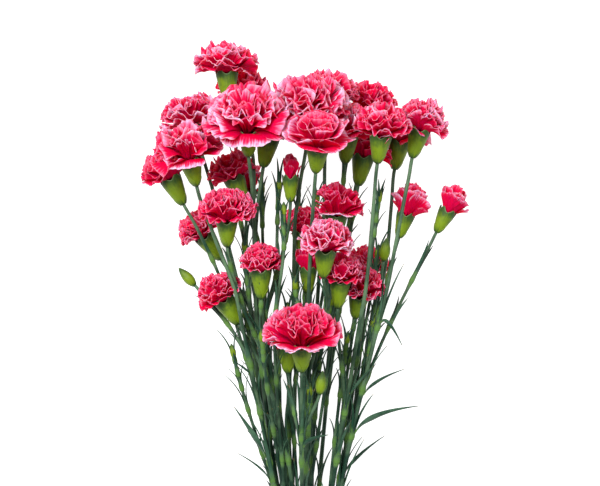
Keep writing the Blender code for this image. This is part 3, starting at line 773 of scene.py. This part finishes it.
def stem_finish():
    paint = Paint("stem")
    across, along = paint.surface()
    node = paint.attribute("node")
    wax = paint.step(paint.noise(paint.place(), 60.0, 3.0) + 0.3 * node, 0.42, 0.66)
    streak = paint.noise(paint.point(across * 22, along * 6), 1.0)
    # Painted light and shade: the stems are painted lighter towards the heads, as if lit there, and darker
    # towards the cut ends.
    painted_light_to_heads = paint.step(paint.node("ShaderNodeSeparateXYZ", {}, {0: paint.place()}, "Y"), -0.05, 0.12)
    colour = paint.mix(wax * 0.5 + 0.3 * (streak - 0.5) + 0.3 * painted_light_to_heads, STEM_DARK, STEM_WAX)
    colour = paint.mix(paint.step(node, 0.15, 0.9), colour, NODE_GREEN)
    return paint.finish(
        base_color=colour, roughness=0.45 + 0.2 * wax, specular_ior_level=GREEN_GLOSS, bump=(streak, 0.0002)
    )


def calyx_finish():
    paint = Paint("calyx")
    across, along = paint.surface()
    tooth = abs((across * TEETH).fraction() - 0.5) * 2
    mottle = paint.noise(paint.place(), 260.0, 3.0)
    streak = paint.noise(paint.point(across * 40, along * 2), 1.0)
    high = paint.step(along + 0.5 * (mottle - 0.5) + 0.25 * (streak - 0.5), 0.42, 0.84)
    # Painted shade: the foot is painted a darker green, as if shaded where the calyx narrows into the stem.
    colour = paint.mix(paint.step(along, 0.0, 0.22), CALYX_FOOT_SHADE, CALYX_LOW)
    # Darker towards the teeth: partly the calyx's own darker green, partly painted shade from the petals
    # above it.
    colour = paint.mix(high, colour, CALYX_TOP_GREEN_AND_SHADE)
    edge = paint.step(along + 0.12 * tooth, 0.93, 1.08)
    colour = paint.mix(edge * 0.4, colour, CALYX_EDGE)
    return paint.finish(
        base_color=colour,
        roughness=0.45 + 0.15 * mottle,
        specular_ior_level=GREEN_GLOSS,
        bump=(streak, 0.0002),
    )


def leaf_finish():
    paint = Paint("leaf")
    across, along = paint.surface()
    veins = paint.noise(paint.point(across * 16, along * 1.5), 1.0, 2.0)
    wax = paint.step(paint.noise(paint.place(), 90.0, 3.0), 0.35, 0.7)
    colour = paint.mix(0.6 * wax + 0.5 * (veins - 0.5), LEAF_DARK, LEAF_WAX)
    colour = paint.mix(paint.step(along, 0.96, 1.0), colour, TIP_BROWN)
    colour = paint.mix(paint.step(along, 0.22, 0.0), colour, NODE_GREEN)
    return paint.finish(
        base_color=colour, roughness=0.45 + 0.15 * wax, specular_ior_level=GREEN_GLOSS, bump=(veins, 0.0003)
    )


STEM = stem_finish()
CALYX_GREEN = calyx_finish()
LEAF = leaf_finish()

# %% Rubber, pith and floor finishes
RUBBER_TAN = (0.55, 0.36, 0.17)
RUBBER_DARK = (0.36, 0.21, 0.09)
FLOOR_GREY = (0.4, 0.4, 0.4)
FLOOR_GLOW = 0.97  # lifts the floor to an even white
FLOOR_SIZE = 4.0
FLOOR_GAP = 0.0002


def rubber_finish():
    paint = Paint("rubber")
    across, along = paint.surface()
    dust = paint.noise(paint.place(), 400.0, 4.0)
    rub = paint.noise(paint.point(across * 3, along * 40), 1.0)
    colour = paint.mix(paint.step(dust + 0.3 * rub, 0.5, 0.9), RUBBER_TAN, RUBBER_DARK)
    return paint.finish(base_color=colour, roughness=0.6 + 0.2 * dust, bump=(rub, 0.0003))


def pith_finish():
    paint = Paint("pith")
    fibre = paint.noise(paint.place(), 1500.0, 2.0)
    colour = paint.mix(fibre, PITH, NODE_GREEN)
    return paint.finish(base_color=colour, roughness=0.7, bump=(fibre, 0.0003))


def floor_finish():
    paint = Paint("floor")
    mottle = paint.noise(paint.place(), 8.0, 2.0)
    return paint.finish(
        base_color=FLOOR_GREY,
        roughness=0.85 + 0.1 * mottle,
        emission_color=(1, 1, 1),
        emission_strength=FLOOR_GLOW,
    )


RUBBER = rubber_finish()
PITH_CUT = pith_finish()
floor_shape = bmesh.new()
bmesh.ops.create_grid(floor_shape, x_segments=1, y_segments=1, size=FLOOR_SIZE)
floor_mesh = bpy.data.meshes.new("floor")
floor_shape.to_mesh(floor_mesh)
floor_shape.free()
floor_mesh.materials.append(floor_finish())
floor_mesh.transform(Matrix.Translation((0, 0, SOLID_BOX[0][2] - FLOOR_GAP)))
floor = linked("floor", floor_mesh)
print("floor at", round(SOLID_BOX[0][2] / MM, 2), "mm")

# %% [markdown]
# ## Two shapes that make almost everything
# Petals, leaves and bracts are blades: a flat grid whose points are moved onto a curved sheet. Stems,
# calyces, buds and the band are swept: a ring of points is extruded from place to place, and grows or
# shrinks on the way. Both leave a UV map behind, so that a finish can follow the piece.


# %% Blades and swept rings
LOWEST = 0.4 * MM  # no point of a blade lies lower


def add_blade(shape, columns, rows, sheet, shade=0.0, tall=1.0):
    """A grid bent onto a sheet(across, along), both from 0 to 1. Its UV map ends at tall."""
    uv = shape.loops.layers.uv["along"]
    layer = shape.verts.layers.float["shade"]
    made = bmesh.ops.create_grid(shape, x_segments=columns, y_segments=rows, size=0.5)["verts"]
    flat = {vertex: (vertex.co.x + 0.5, vertex.co.y + 0.5) for vertex in made}
    for face in {face for vertex in made for face in vertex.link_faces}:
        for loop in face.loops:
            across, along = flat[loop.vert]
            loop[uv].uv = (across, along * tall)
    for vertex, (across, along) in flat.items():
        vertex.co = sheet(across, along)
        vertex.co.z = max(vertex.co.z, LOWEST)
        vertex[layer] = shade


def ring_frames(points):
    """Where a ring stands at each point of a line: square to the line, and carried along without a twist."""
    last = len(points) - 1
    ahead = [(points[min(k + 1, last)] - points[max(k - 1, 0)]).normalized() for k in range(last + 1)]
    turn = ahead[0].to_track_quat("Z", "X")
    frames = []
    for rank, point in enumerate(points):
        if rank:
            turn = ahead[rank - 1].rotation_difference(ahead[rank]) @ turn
        frames.append(Matrix.LocRotScale(point, turn, None))
    return frames


def sweep(shape, points, radii, sides, marks=(), caps=(None, None)):
    """A tube: a ring extruded from point to point. caps are the material slots of its two ends, or None."""
    uv = shape.loops.layers.uv["along"]
    layer = shape.verts.layers.float["node"]
    frames = ring_frames([Vector(p) for p in points])
    start = bmesh.ops.create_circle(shape, cap_ends=False, radius=1.0, segments=sides)["verts"]
    ring = {vertex: rank for rank, vertex in enumerate(start)}
    edges = list(dict.fromkeys(edge for vertex in ring for edge in vertex.link_edges))
    first_edges = edges
    rings = []
    for level, (frame_here, radius) in enumerate(zip(frames, radii)):
        if level:
            grown = bmesh.ops.extrude_edge_only(shape, edges=edges)["geom"]
            fresh = [g for g in grown if isinstance(g, bmesh.types.BMVert)]
            links = [(v, e.other_vert(v)) for v in fresh for e in v.link_edges]
            ring = {vertex: ring[old] for vertex, old in links if old in ring}
            lines = [g for g in grown if isinstance(g, bmesh.types.BMEdge)]
            edges = [edge for edge in lines if all(vertex in ring for vertex in edge.verts)]
        for vertex, rank in ring.items():
            turn = math.tau * rank / sides
            vertex.co = frame_here @ Vector((radius * math.cos(turn), radius * math.sin(turn), 0))
            vertex[layer] = marks[level] if len(marks) else 0.0
        rings.append({rank: vertex for vertex, rank in ring.items()})
    for level, (low, high) in enumerate(zip(rings, rings[1:])):
        for rank in range(sides):
            corners = {low[rank]: (rank, level), low[(rank + 1) % sides]: (rank + 1, level),
                       high[rank]: (rank, level + 1), high[(rank + 1) % sides]: (rank + 1, level + 1)}
            face = next(f for f in low[rank].link_faces if set(f.verts) == set(corners))
            for loop in face.loops:
                across, along = corners[loop.vert]
                loop[uv].uv = (across / sides, along / (len(rings) - 1))
    for end, loose in zip(caps, (first_edges, edges)):
        if end is not None:
            bmesh.ops.edgeloop_fill(shape, edges=loose, mat_nr=end)
    return rings


def new_shape():
    shape = bmesh.new()
    shape.loops.layers.uv.new("along")
    shape.verts.layers.float.new("shade")
    shape.verts.layers.float.new("node")
    return shape


def finished(name, shape, finishes, slot, *replaced, swept=True, thickness=0.0, rounding=1):
    """A shape as a piece of the bunch, with its finishes, wall and smoothing, and the solid it stands for."""
    if swept:
        bmesh.ops.recalc_face_normals(shape, faces=shape.faces)
    mesh = bpy.data.meshes.new(name)
    shape.to_mesh(mesh)
    shape.free()
    for finish in finishes:
        mesh.materials.append(finish)
    mesh.shade_smooth()
    piece = linked(name, mesh)
    if rounding:
        smooth = piece.modifiers.new("rounding", "SUBSURF")
        smooth.levels = smooth.render_levels = rounding
    if thickness:
        wall = piece.modifiers.new("wall", "SOLIDIFY")
        wall.thickness = thickness * MM
        wall.offset = 0.0
    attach(piece, "root")
    if replaced:
        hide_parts(*replaced)


trial = new_shape()
sweep(trial, [(0, 0, 0), (0, 0, 1), (0, 0.5, 2)], [1, 1, 0.5], 8, caps=(0, 0))
print("a three-ring tube has", len(trial.faces), "faces")
trial.free()

# %% [markdown]
# ## Stems
# A stem's line is known every 15 mm. A cubic through those points gives it a natural, slightly wandering
# curve. The ring that is swept along it grows at each node, where the plant is swollen, and the cut end
# shows pale pith. A node also has a sheath: the joined feet of two leaves, wrapped round the stem.


# %% A smooth line for a stem
LOOK_AHEAD = 3.0  # how far apart two points are that give a line's direction


def stem_line(strand, spacing=4.0):
    """Points along a strand, in the arrangement's millimetres, with the height of each along the bunch."""
    live = slice(strand.bottom, strand.top + 1)
    knots = np.append(STATION[live], strand.flower.calyx_base()[1])
    cross = np.vstack([strand.path[live], strand.flower.calyx_base()[[0, 2]]])
    slopes = np.gradient(cross, knots, axis=0)
    slopes[-1] = np.clip(strand.flower.axis[[0, 2]] / strand.flower.axis[1], -STEEPEST, STEEPEST)
    if strand.parent is not None:
        beside = strand.parent.path[[strand.bottom - 1, strand.bottom + 1]]
        slopes[0] = (beside[1] - beside[0]) / (2 * STATION_STEP)
    heights = np.append(np.arange(knots[0], knots[-1] - 0.5 * spacing, spacing), knots[-1])
    rank = np.clip(np.searchsorted(knots, heights, side="right") - 1, 0, len(knots) - 2)
    span = (knots[rank + 1] - knots[rank])[:, None]
    share = (heights - knots[rank]) / span[:, 0]
    line = hermite(cross[rank], slopes[rank], cross[rank + 1], slopes[rank + 1], share, span)
    return heights, np.column_stack([line[:, 0], heights, line[:, 1]])


def on_line(heights, line, y):
    """The line's point and its direction at one height. Past its end the line runs straight on."""
    low = min(y, heights[-1] - LOOK_AHEAD)
    here = np.array([np.interp(low, heights, line[:, k]) for k in range(3)])
    above = np.array([np.interp(low + LOOK_AHEAD, heights, line[:, k]) for k in range(3)])
    rise = (above - here) / LOOK_AHEAD
    return here + rise * (y - low), rise / np.linalg.norm(rise)


print("the first stem's line has", len(stem_line(STRANDS[0])[0]), "points")


# %% Stems with their nodes
NODE_SWELL = 0.5
NODE_LENGTH = 2.4
GLOW_LENGTH = 1.1 * NODE_LENGTH  # how far the fresh green reaches
STEM_SIDES = 10
SPRAYS = {number: [s for s in STRANDS if s.flower.stem == number] for number in range(1, 15)}


def shoot_nodes(strand):
    """A side shoot has one to three nodes of its own, part of the way up."""
    low, high = STATION[strand.bottom], strand.flower.calyx_base()[1]
    share = 0.35 + 0.3 * ((strand.flower.mouth[0] * 7.3) % 1.0)
    places = [share - 0.15, share + 0.1, share + 0.32] if high - low > 80 else [share + 0.07]
    return [low + place * (high - low) for place in places] if high - low > 45 else []


def near_nodes(heights, nodes, reach):
    """1 at a node, and less and less away from it."""
    return sum((np.exp(-(((heights - y) / reach) ** 2)) for y in nodes), 0 * heights)


def add_strand(shape, strand):
    heights, line = stem_line(strand)
    nodes = strand.nodes or shoot_nodes(strand)
    swell = 1 + NODE_SWELL * near_nodes(heights, nodes, NODE_LENGTH)
    radii = np.array([strand.radius_at(y) for y in heights]) * swell
    glow = np.minimum(near_nodes(heights, nodes, GLOW_LENGTH), 1)
    cut = 1 if strand.parent is None else 0
    sweep(shape, [placed(p) for p in line], radii * MM, STEM_SIDES, glow, (cut, 0))


for number, strands in SPRAYS.items():
    shape = new_shape()
    for strand in strands:
        add_strand(shape, strand)
    finished(f"spray_{number:02d}", shape, [STEM, PITH_CUT], "stem", f"stem_{number:02d}", rounding=0)
print("stems swept for", len(SPRAYS), "sprays")

# %% [markdown]
# ## Calyces and buds
# Under each bloom is a green cup, the calyx, whose rim is cut into five pointed teeth that hug the petals.
# At its foot sit four small scales. A bud is the same cup still closed to a point. Both are swept rings.
# The teeth are made by pushing the points of the last two rings along the flower's axis, the middle of each
# tooth furthest.

# %% Calyces
CUP_PROFILE = [  # share of the calyx's length, and width there against its radius
    (0.0, 0.24), (0.03, 0.34), (0.09, 0.46), (0.18, 0.6), (0.32, 0.77), (0.5, 0.91), (0.6, 1.0), (0.7, 1.06),
    (0.71, 1.08), (0.72, 1.09),
]
BUD_PROFILE = [
    (0.0, 0.3), (0.08, 0.62), (0.22, 0.92), (0.4, 1.0), (0.6, 0.88), (0.8, 0.55), (0.93, 0.28), (1.0, 0.06),
]
SEAM_WIDTH = 0.86  # a bud's radius along its five seams, against the radius between them
TOOTH_LENGTH = 3.6
TOOTH_SHAPE = (0.0, 0.22, 0.65, 1.0, 0.65, 0.22)
TOOTH_RINGS = ((-2, 0.5, 0.05), (-1, 1.0, 0.04))  # ring, share of the tooth's length, lean outwards
SCALE_HEIGHTS = (0.28, 0.36)
SCALE_WRAP = 1.5
SCALE_GAP = 0.35


def along_axis(flower, share):
    return Vector(flower.calyx_base()) + Vector(flower.axis) * flower.calyx_length * share


def sweep_calyx(shape, flower, profile, sides, caps):
    """A ring swept up the flower's axis, and the middles of its rings."""
    points = [placed(along_axis(flower, share)) for share, _ in profile]
    radii = [size * flower.calyx_radius * MM for _, size in profile]
    return points, sweep(shape, points, radii, sides, caps=caps)


def add_cup(shape, flower):
    """The calyx of a flower: a cup with five teeth."""
    points, rings = sweep_calyx(shape, flower, CUP_PROFILE, len(TOOTH_SHAPE) * TEETH, (0, None))
    for level, part, lean in TOOTH_RINGS:
        for rank, vertex in rings[level].items():
            rise = TOOTH_SHAPE[rank % len(TOOTH_SHAPE)] * TOOTH_LENGTH * part * MM
            outward = (vertex.co - points[-1]).normalized()
            vertex.co += Vector(flower.axis) * rise + outward * lean * rise


def add_scales(shape, flower):
    """Four small pointed scales round the foot of the calyx."""
    across, over = (Vector(side) for side in flower.side_axes())
    reach, sizes = zip(*CUP_PROFILE)
    for turn in range(4):
        middle = math.tau * turn / 4 + 0.5
        tall = SCALE_HEIGHTS[turn % 2]

        def sheet(side, along):
            angle = middle + (side - 0.5) * SCALE_WRAP * (1 - along) ** 0.6
            size = float(np.interp(along * tall, reach, sizes)) * flower.calyx_radius + SCALE_GAP
            around = across * math.cos(angle) + over * math.sin(angle)
            return placed(along_axis(flower, along * tall) + around * size)

        add_blade(shape, 4, 4, sheet, tall=tall)


def add_bud(shape, flower):
    """A closed bud: five seams run up to its tip."""
    points, rings = sweep_calyx(shape, flower, BUD_PROFILE, 3 * TEETH, (0, 0))
    for ring, centre in zip(rings, points):
        for rank in range(0, 3 * TEETH, 3):
            ring[rank].co = centre + (ring[rank].co - centre) * SEAM_WIDTH


for number, strands in SPRAYS.items():
    cups, scales, buds = new_shape(), new_shape(), new_shape()
    for flower in [strand.flower for strand in strands]:
        add_scales(scales, flower)
        if flower.closed:
            add_bud(buds, flower)
        else:
            add_cup(cups, flower)
    finished(f"calyces_{number:02d}", cups, [CALYX_GREEN], "stem", thickness=0.4)
    finished(f"calyx_scales_{number:02d}", scales, [CALYX_GREEN], "stem", swept=False, thickness=0.4)
    if buds.verts:
        finished(f"buds_{number:02d}", buds, [CALYX_GREEN], "stem")
    else:
        buds.free()
print("calyces made for", len(FLOWER_LIST), "flowers, buds and tips")

# %% [markdown]
# ## Petals: the shape
# One petal is a blade with a narrow claw that spreads into a fan. Its middle line climbs out of the calyx
# and bends over to its own lift: outer petals lie nearly flat or droop, inner ones stand up. It is cupped a
# little, waves run across it and grow towards the margin, and the margin is cut into small teeth. The
# length is found last: the tip has to reach a dome that is as wide and as high as the bloom's plain solid.

# %% One petal
CLAW_RISE = math.radians(82)
CLAW_DEPTH = -5.5  # petals start this low in the calyx
PETAL_COLUMNS = 14
PETAL_ROWS = 4
FRINGE = 0.06  # how far the teeth of the margin stand out, against the petal's length
SPINE_SHARES = np.linspace(0, 1, 25)
FREE_FROM = 9  # the part of the spine that is clear of the calyx


def ease(share):
    share = np.clip(share, 0, 1)
    return share * share * (3 - 2 * share)


def petal_spine(lift, droop, bend, flare):
    """Reach, height and heading along a petal of length 1."""
    share = SPINE_SHARES
    heading = CLAW_RISE + (lift - CLAW_RISE) * ease(share / bend) - droop * share**2 - flare * share**4
    step = np.append(0, np.diff(share))
    return np.cumsum(np.cos(heading) * step), np.cumsum(np.sin(heading) * step), heading


def reach_dome(out, up, start, low, wide, high):
    """The length at which a petal first touches the dome, from its start off the middle and low down."""
    a = (out / wide) ** 2 + (up / high) ** 2
    b = start * out / wide**2 + low * up / high**2
    c = (start / wide) ** 2 + (low / high) ** 2 - 1
    return float(np.min((np.sqrt(b * b - a * c) - b) / a))


def add_petal(shape, petal, wide, high, around, rng):
    """One petal of a bloom that is wide across its rim and high along its axis, both from its middle."""
    reach, rise, heading = petal_spine(petal["lift"], petal["droop"], petal["bend"], petal["flare"])
    high *= 1.0 if rise[-1] > 0 else 0.5
    far = reach_dome(reach[FREE_FROM:], rise[FREE_FROM:], petal["start"], CLAW_DEPTH, wide, high)
    length = petal["scale"] * far
    half = petal["width"]
    phase = rng.uniform(0, math.tau, 3)
    folds = rng.normal(0, 1, PETAL_COLUMNS + 1)
    teeth = rng.uniform(0.3, 1.0, PETAL_COLUMNS + 1) * (-1.0) ** np.arange(PETAL_COLUMNS + 1)
    lean = rng.normal(0, 0.12)

    def sheet(across, along):
        column = round(across * PETAL_COLUMNS)
        side = 2 * across - 1
        here = 1 - (1 - along) ** 1.4
        spread = petal["claw"] + (1 - petal["claw"]) * float(ease((here - 0.05) / 0.8))
        back = (0.08 * side**2 + 0.16 * side**6) * here * here
        point = here - back + (FRINGE * teeth[column] if along == 1 else 0)
        out, up, angle = (float(np.interp(point, SPINE_SHARES, row)) for row in (reach, rise, heading))
        out += max(point - 1, 0) * math.cos(angle)
        up += max(point - 1, 0) * math.sin(angle)
        wave = math.sin(side * petal["waves"] * math.pi + phase[0]) * 0.6
        wave += math.sin(side * petal["waves"] * 2.1 * math.pi + phase[1]) * 0.35 * here
        push = petal["ruffle"] * half * (wave + petal["creases"] * folds[column] * here) * here**2.0
        push += (petal["cup"] * side + petal["roll"]) * half * side * here
        sideways = half * spread * side * (1 - 0.25 * petal["ruffle"]) + lean * here * half
        x = petal["start"] + length * out - math.sin(angle) * push
        z = length * up + math.cos(angle) * push + CLAW_DEPTH
        return around @ Vector((x, sideways, z))

    add_blade(shape, PETAL_COLUMNS, PETAL_ROWS, sheet, petal["shade"])


print("a petal has", PETAL_COLUMNS * PETAL_ROWS, "faces before rounding")

# %% [markdown]
# ## Petals: the bloom
# Petals are set on one after another at the golden angle, which never lines two of them up. From the
# outside in they lift, shorten and crumple. A half-open bloom has fewer petals, and all of them stand
# steeply. In four of the blooms one to three broad outer petals hang forward over the calyx, so these are
# added last.

# %% Blooms
GOLDEN_ANGLE = math.radians(137.508)
BLOOM_STYLES = {  # petals, first and last lift, flare, ruffle, cup, waves, creases, pallor
    "open": (39, 3, 78, 35, 0.36, 0.16, 0.9, 0.24, 1.0),
    "domed": (40, 12, 82, 22, 0.32, 0.1, 1.6, 0.3, 0.5),
    "half": (18, 46, 88, 14, 0.2, 0.3, 0.9, 0.15, 0.8),
    # Shaded blooms keep little pale margin: painted shade for blooms that lie low and under others.
    "shaded": (32, 8, 78, 28, 0.34, 0.14, 1.1, 0.25, 0.3),
    "closed": (16, 64, 84, -45, 0.1, 0.5, 0.6, 0.05, 0.5),
    "cupped": (24, 20, 82, 22, 0.10, 0.5, 0.6, 0.08, 0.6),
}
STYLED = {  # the blooms that differ from their kind
    "cupped": "front_cup",
    "closed": "middle_closed inner_low",
    "domed": "front_low front_dome left_dark left_low low_left right_low right_nod left_outer",
    "shaded": "left_inner crown_back middle_low back_under middle_hidden right_low_back back_right",
}
STYLE_OF = {name: style for style, names in STYLED.items() for name in names.split()}
FULL_RADIUS = 20  # smaller blooms have fewer petals
USUAL_LIMP = 10  # how far outer petals may droop, in degrees
LIMP = {"front_left": 40, "left_wide": 25, "right_front": 20, "front_low": 4, "crown": 0}
USUAL_FLATNESS = 0.92  # height of the dome of petals against the plain bloom's
FLATNESS = {"crown": 0.66, "front_left": 0.85, "middle_left": 1.4} | dict.fromkeys(
    ["left_wide", "left_high", "right_front"], 0.8
)
HANGING = {  # width against the radius, droop, which outer petals make room, turns
    "front_left": (0.62, 66, 0.7, (95,)),
    "left_wide": (0.55, 60, 0.7, (95,)),
    "front_low": (0.46, 24, 0.3, (40, 92, 140)),
    "middle_low": (0.5, 50, 0.6, (75, 110)),
}
HANGING_PETAL = {
    "lift": math.radians(20), "flare": 0.0, "claw": 0.6, "roll": 0.0, "waves": 0.9, "ruffle": 0.16,
    "cup": -0.12, "scale": 0.86, "shade": 1.0,
}


def petal_plan(flower, style, rank, count, rng):
    """The form of one petal, from the outermost to the innermost."""
    _, low, high, flare, ruffle, cup, waves, creases, pallor = style
    inward = min(1.0, max(0.0, rank / (count - 1) + rng.normal(0, 0.08)))
    limp = rng.uniform(0, LIMP.get(flower.name, USUAL_LIMP)) * max(0.0, 1 - 2.2 * inward)
    return {
        "start": flower.calyx_radius * (0.8 - 0.65 * inward),
        "lift": math.radians(low + (high - low) * inward**0.8 + rng.normal(0, 9 if flare > 0 else 3)),
        "droop": math.radians(limp) if flower.kind == "open" else 0.0,
        "bend": 0.26 + 0.14 * inward,
        "flare": math.radians(flare * rng.uniform(0.4, 1.2) * (0.6 + 0.9 * inward)),
        "roll": rng.normal(0, 0.16 if flare > 0 else 0.05),
        "scale": rng.uniform(0.96, 1.1) * (1 - 0.04 * inward),
        "width": flower.radius * (0.62 - 0.1 * inward) * rng.uniform(0.85, 1.15),
        "claw": 0.25,
        "waves": waves * rng.uniform(0.5, 1.5) + 0.3 * inward,
        "creases": creases,
        "ruffle": ruffle * (0.8 + 0.9 * inward) * rng.uniform(0.8, 1.3),
        "cup": cup * rng.uniform(-0.2, 1.6),
        "shade": float(min(1.0, rng.uniform(0.0, 1.2) * (1.1 - 0.6 * inward) * pallor)),
    }


def add_petals(flower, seed):
    rng = np.random.default_rng(seed)
    style = BLOOM_STYLES[STYLE_OF.get(flower.name, flower.kind)]
    count = round(style[0] * min(1.0, 0.62 + 0.38 * flower.radius / FULL_RADIUS))
    shape = new_shape()
    across, over = (Vector(side) for side in flower.side_axes())
    stand = Matrix((across, over, Vector(flower.axis))).transposed()
    mouth = Matrix.Translation(placed(flower.mouth)) @ stand.to_4x4() @ Matrix.Scale(MM, 4)
    high = flower.height * FLATNESS.get(flower.name, USUAL_FLATNESS)
    width, droop, room, turns = HANGING.get(flower.name, (0, 0, 1, ()))
    for rank in range(count):
        turn = GOLDEN_ANGLE * rank + rng.normal(0, 0.3)
        plan = petal_plan(flower, style, rank, count, rng)
        if rank >= 0.5 * count or math.sin(turn) <= room:
            add_petal(shape, plan, flower.radius, high, mouth @ Matrix.Rotation(turn, 4, "Z"), rng)
    for turn in turns:
        plan = petal_plan(flower, style, 0, count, rng) | HANGING_PETAL
        plan |= {"width": width * flower.radius, "droop": math.radians(droop)}
        around = mouth @ Matrix.Rotation(math.radians(turn), 4, "Z")
        add_petal(shape, plan, flower.radius, 2 * flower.radius, around, rng)
    name = f"petals_{flower.name}"
    bloom = f"bloom_{flower.name}"
    finished(name, shape, [PETAL], "petals", bloom, swept=False, thickness=0.18)
    return count


petal_count = sum(add_petals(flower, seed) for seed, flower in enumerate(FLOWER_LIST) if not flower.closed)
print(petal_count, "petals")

# %% [markdown]
# ## Leaves, bracts and sheaths
# A carnation leaf is a narrow folded blade that clasps the stem at a node. High on the plant the leaves
# shrink to bracts a few millimetres wide that stand close along the stem. They are all blades on a curved
# sheet.

# %% Leaves
LEAF_FOLD = 0.35
LEAF_TWIST = math.radians(68)
LEAF_HALF = 0.6  # half a blade's width against its solid's


def add_leaf_blade(shape, strand, node_y, tip, width, turn):
    """A folded blade from its node to its tip."""
    stem_point = point_at(strand, STATION, node_y + KNUCKLE_REACH)
    above = point_at(strand, STATION, node_y + KNUCKLE_REACH + STATION_STEP)
    along_stem = (above - stem_point) / np.linalg.norm(above - stem_point)
    tip = np.array(tip, float)
    outward = tip - along_stem * (tip @ along_stem)
    outward /= np.linalg.norm(outward)
    base = stem_point + outward * (strand.radius_at(node_y) + SEAT_GAP)
    shoulder = base + (along_stem * 0.35 + outward * 0.1) * np.linalg.norm(tip)
    side = np.cross(along_stem, outward)

    def sheet(across, along):
        centre = (1 - along) ** 2 * base + 2 * along * (1 - along) * shoulder + along**2 * (base + tip)
        ahead = (1 - along) * (shoulder - base) + along * (base + tip - shoulder)
        ahead /= np.linalg.norm(ahead)
        turned = math.copysign(LEAF_TWIST, turn) * min(1, 2.5 * along)
        wide = side * math.cos(turned) + np.cross(ahead, side) * math.sin(turned)
        normal = np.cross(ahead, wide)
        swell = 0.35 + 0.65 * math.sin(math.pi * (0.15 + 0.85 * along))
        half = LEAF_HALF * width * swell * (1.005 - along) ** 0.5
        edge = 2 * across - 1
        return placed(centre + wide * half * edge + normal * LEAF_FOLD * half * (abs(edge) - 0.5))

    add_blade(shape, 4, 14, sheet)


MAINS = {s.flower.stem: s for s in STRANDS if s.parent is None}
for name, number, node_y, tip, width, turn in LEAVES:
    shape = new_shape()
    add_leaf_blade(shape, MAINS[number], node_y, tip, width, turn)
    finished(f"blade_{name}", shape, [LEAF], "leaf", name, swept=False, thickness=0.45)
print(len(LEAVES), "leaves")

# %% Bracts and sheaths at the nodes
BRACT_SPLAY = 0.34  # how far a bract's tip stands off, against its length
MOST_SPLAY = 7.0
BRACT_WIDTH = 1.12  # half its width, against the stem's radius
MAIN_BRACTS = (22, 46)  # shortest and longest
SHOOT_BRACTS = (10, 24)
BRACT_RISE = 3.0  # bracts start this far above the middle of their node
CROWDED = (20.0, 11.0, 3.0)  # extra nodes below a flowerless tip
SHEATH = [(-2.0, 1.25, 0.3), (0.3, 1.75, 0.9), (2.6, 1.55, 0.6), (5.5, 1.25, 0.2), (6.5, 1.05, 0.0)]


def add_bract(shape, heights, line, y, radius, turn, length):
    """A small pointed leaf that starts on the stem and bends a little away from it."""
    ahead = on_line(heights, line, y)[1]
    side = np.cross(ahead, (0.0, 0.0, 1.0))
    side /= np.linalg.norm(side)
    outward = side * math.cos(turn) + np.cross(side, ahead) * math.sin(turn)
    wide = np.cross(ahead, outward)

    def sheet(across, along):
        edge = 2 * across - 1
        half = BRACT_WIDTH * radius * (1 - along) ** 0.6
        away = min(BRACT_SPLAY * length, MOST_SPLAY) * along**2.2
        lift = radius * 1.12 + away - 0.4 * half * edge * edge
        return placed(on_line(heights, line, y + length * along)[0] + outward * lift + wide * half * edge)

    add_blade(shape, 4, 8, sheet)


def add_sheath(shape, radius, heights, line, y):
    """The sheath round a node: rise, width against the stem and freshness of its green, ring by ring."""
    points = [placed(on_line(heights, line, y + rise)[0]) for rise, _, _ in SHEATH]
    radii = [radius * size * MM for _, size, _ in SHEATH]
    sweep(shape, points, radii, 12, [fresh for _, _, fresh in SHEATH], (0, 0))


rng = np.random.default_rng(11)
for number, strands in SPRAYS.items():
    sheaths, bracts = new_shape(), new_shape()
    for strand in strands:
        heights, line = stem_line(strand)
        crowded = [heights[-1] - below for below in CROWDED] if strand.flower.kind == "tip" else []
        for y in [*(strand.nodes or shoot_nodes(strand)), *crowded]:
            radius = strand.radius_at(y)
            add_sheath(sheaths, radius, heights, line, y)
            turn = rng.uniform(0, math.tau)
            length = rng.uniform(*(MAIN_BRACTS if strand.parent is None else SHOOT_BRACTS))
            for opposite in (0, math.pi):
                add_bract(bracts, heights, line, y + BRACT_RISE, radius, turn + opposite, length)
    finished(f"sheaths_{number:02d}", sheaths, [STEM], "stem")
    finished(f"bracts_{number:02d}", bracts, [LEAF], "leaf", swept=False, thickness=0.35)
print("nodes dressed on", len(SPRAYS), "sprays")

# %% [markdown]
# ## The rubber band
# The stems are held by a rubber band that goes round them several times. Each turn is a flat ring beside
# the last, a little tilted, so that the turns cross and press on each other as real ones do.

# %% Rubber band
TURNS = 5
TURN_RADIUS = BAND_INNER + 0.5 * BAND_THICKNESS
TURN_HEIGHT = BAND_INNER * math.cos(math.pi / BAND_SIDES) + BAND_THICKNESS
TURN_POINTS = 48
TURN_TILT = 0.5
TURN_MARGIN = 2.0  # the middles of the outer turns lie this much closer than the band is wide
RUBBER_RADIUS = 0.7


def add_turn(shape, rank):
    """One turn, closed where its last ring meets its first."""
    offset = (rank - (TURNS - 1) / 2) * (BAND_WIDTH - TURN_MARGIN) / (TURNS - 1)
    tilt = TURN_TILT * math.sin(2.4 * rank)
    points = []
    for step in range(TURN_POINTS + 1):
        angle = math.tau * step / TURN_POINTS
        y = offset + tilt * math.cos(angle + rank)
        points.append(placed((TURN_RADIUS * math.cos(angle), y, TURN_HEIGHT + TURN_RADIUS * math.sin(angle))))
    rings = sweep(shape, points, [RUBBER_RADIUS * MM] * len(points), 8)
    bmesh.ops.remove_doubles(shape, verts=[*rings[0].values(), *rings[-1].values()], dist=0.2 * MM)


band_shape = new_shape()
for rank in range(TURNS):
    add_turn(band_shape, rank)
finished("rubber_band_turns", band_shape, [RUBBER], "band", "rubber_band")
print(TURNS, "turns of rubber")
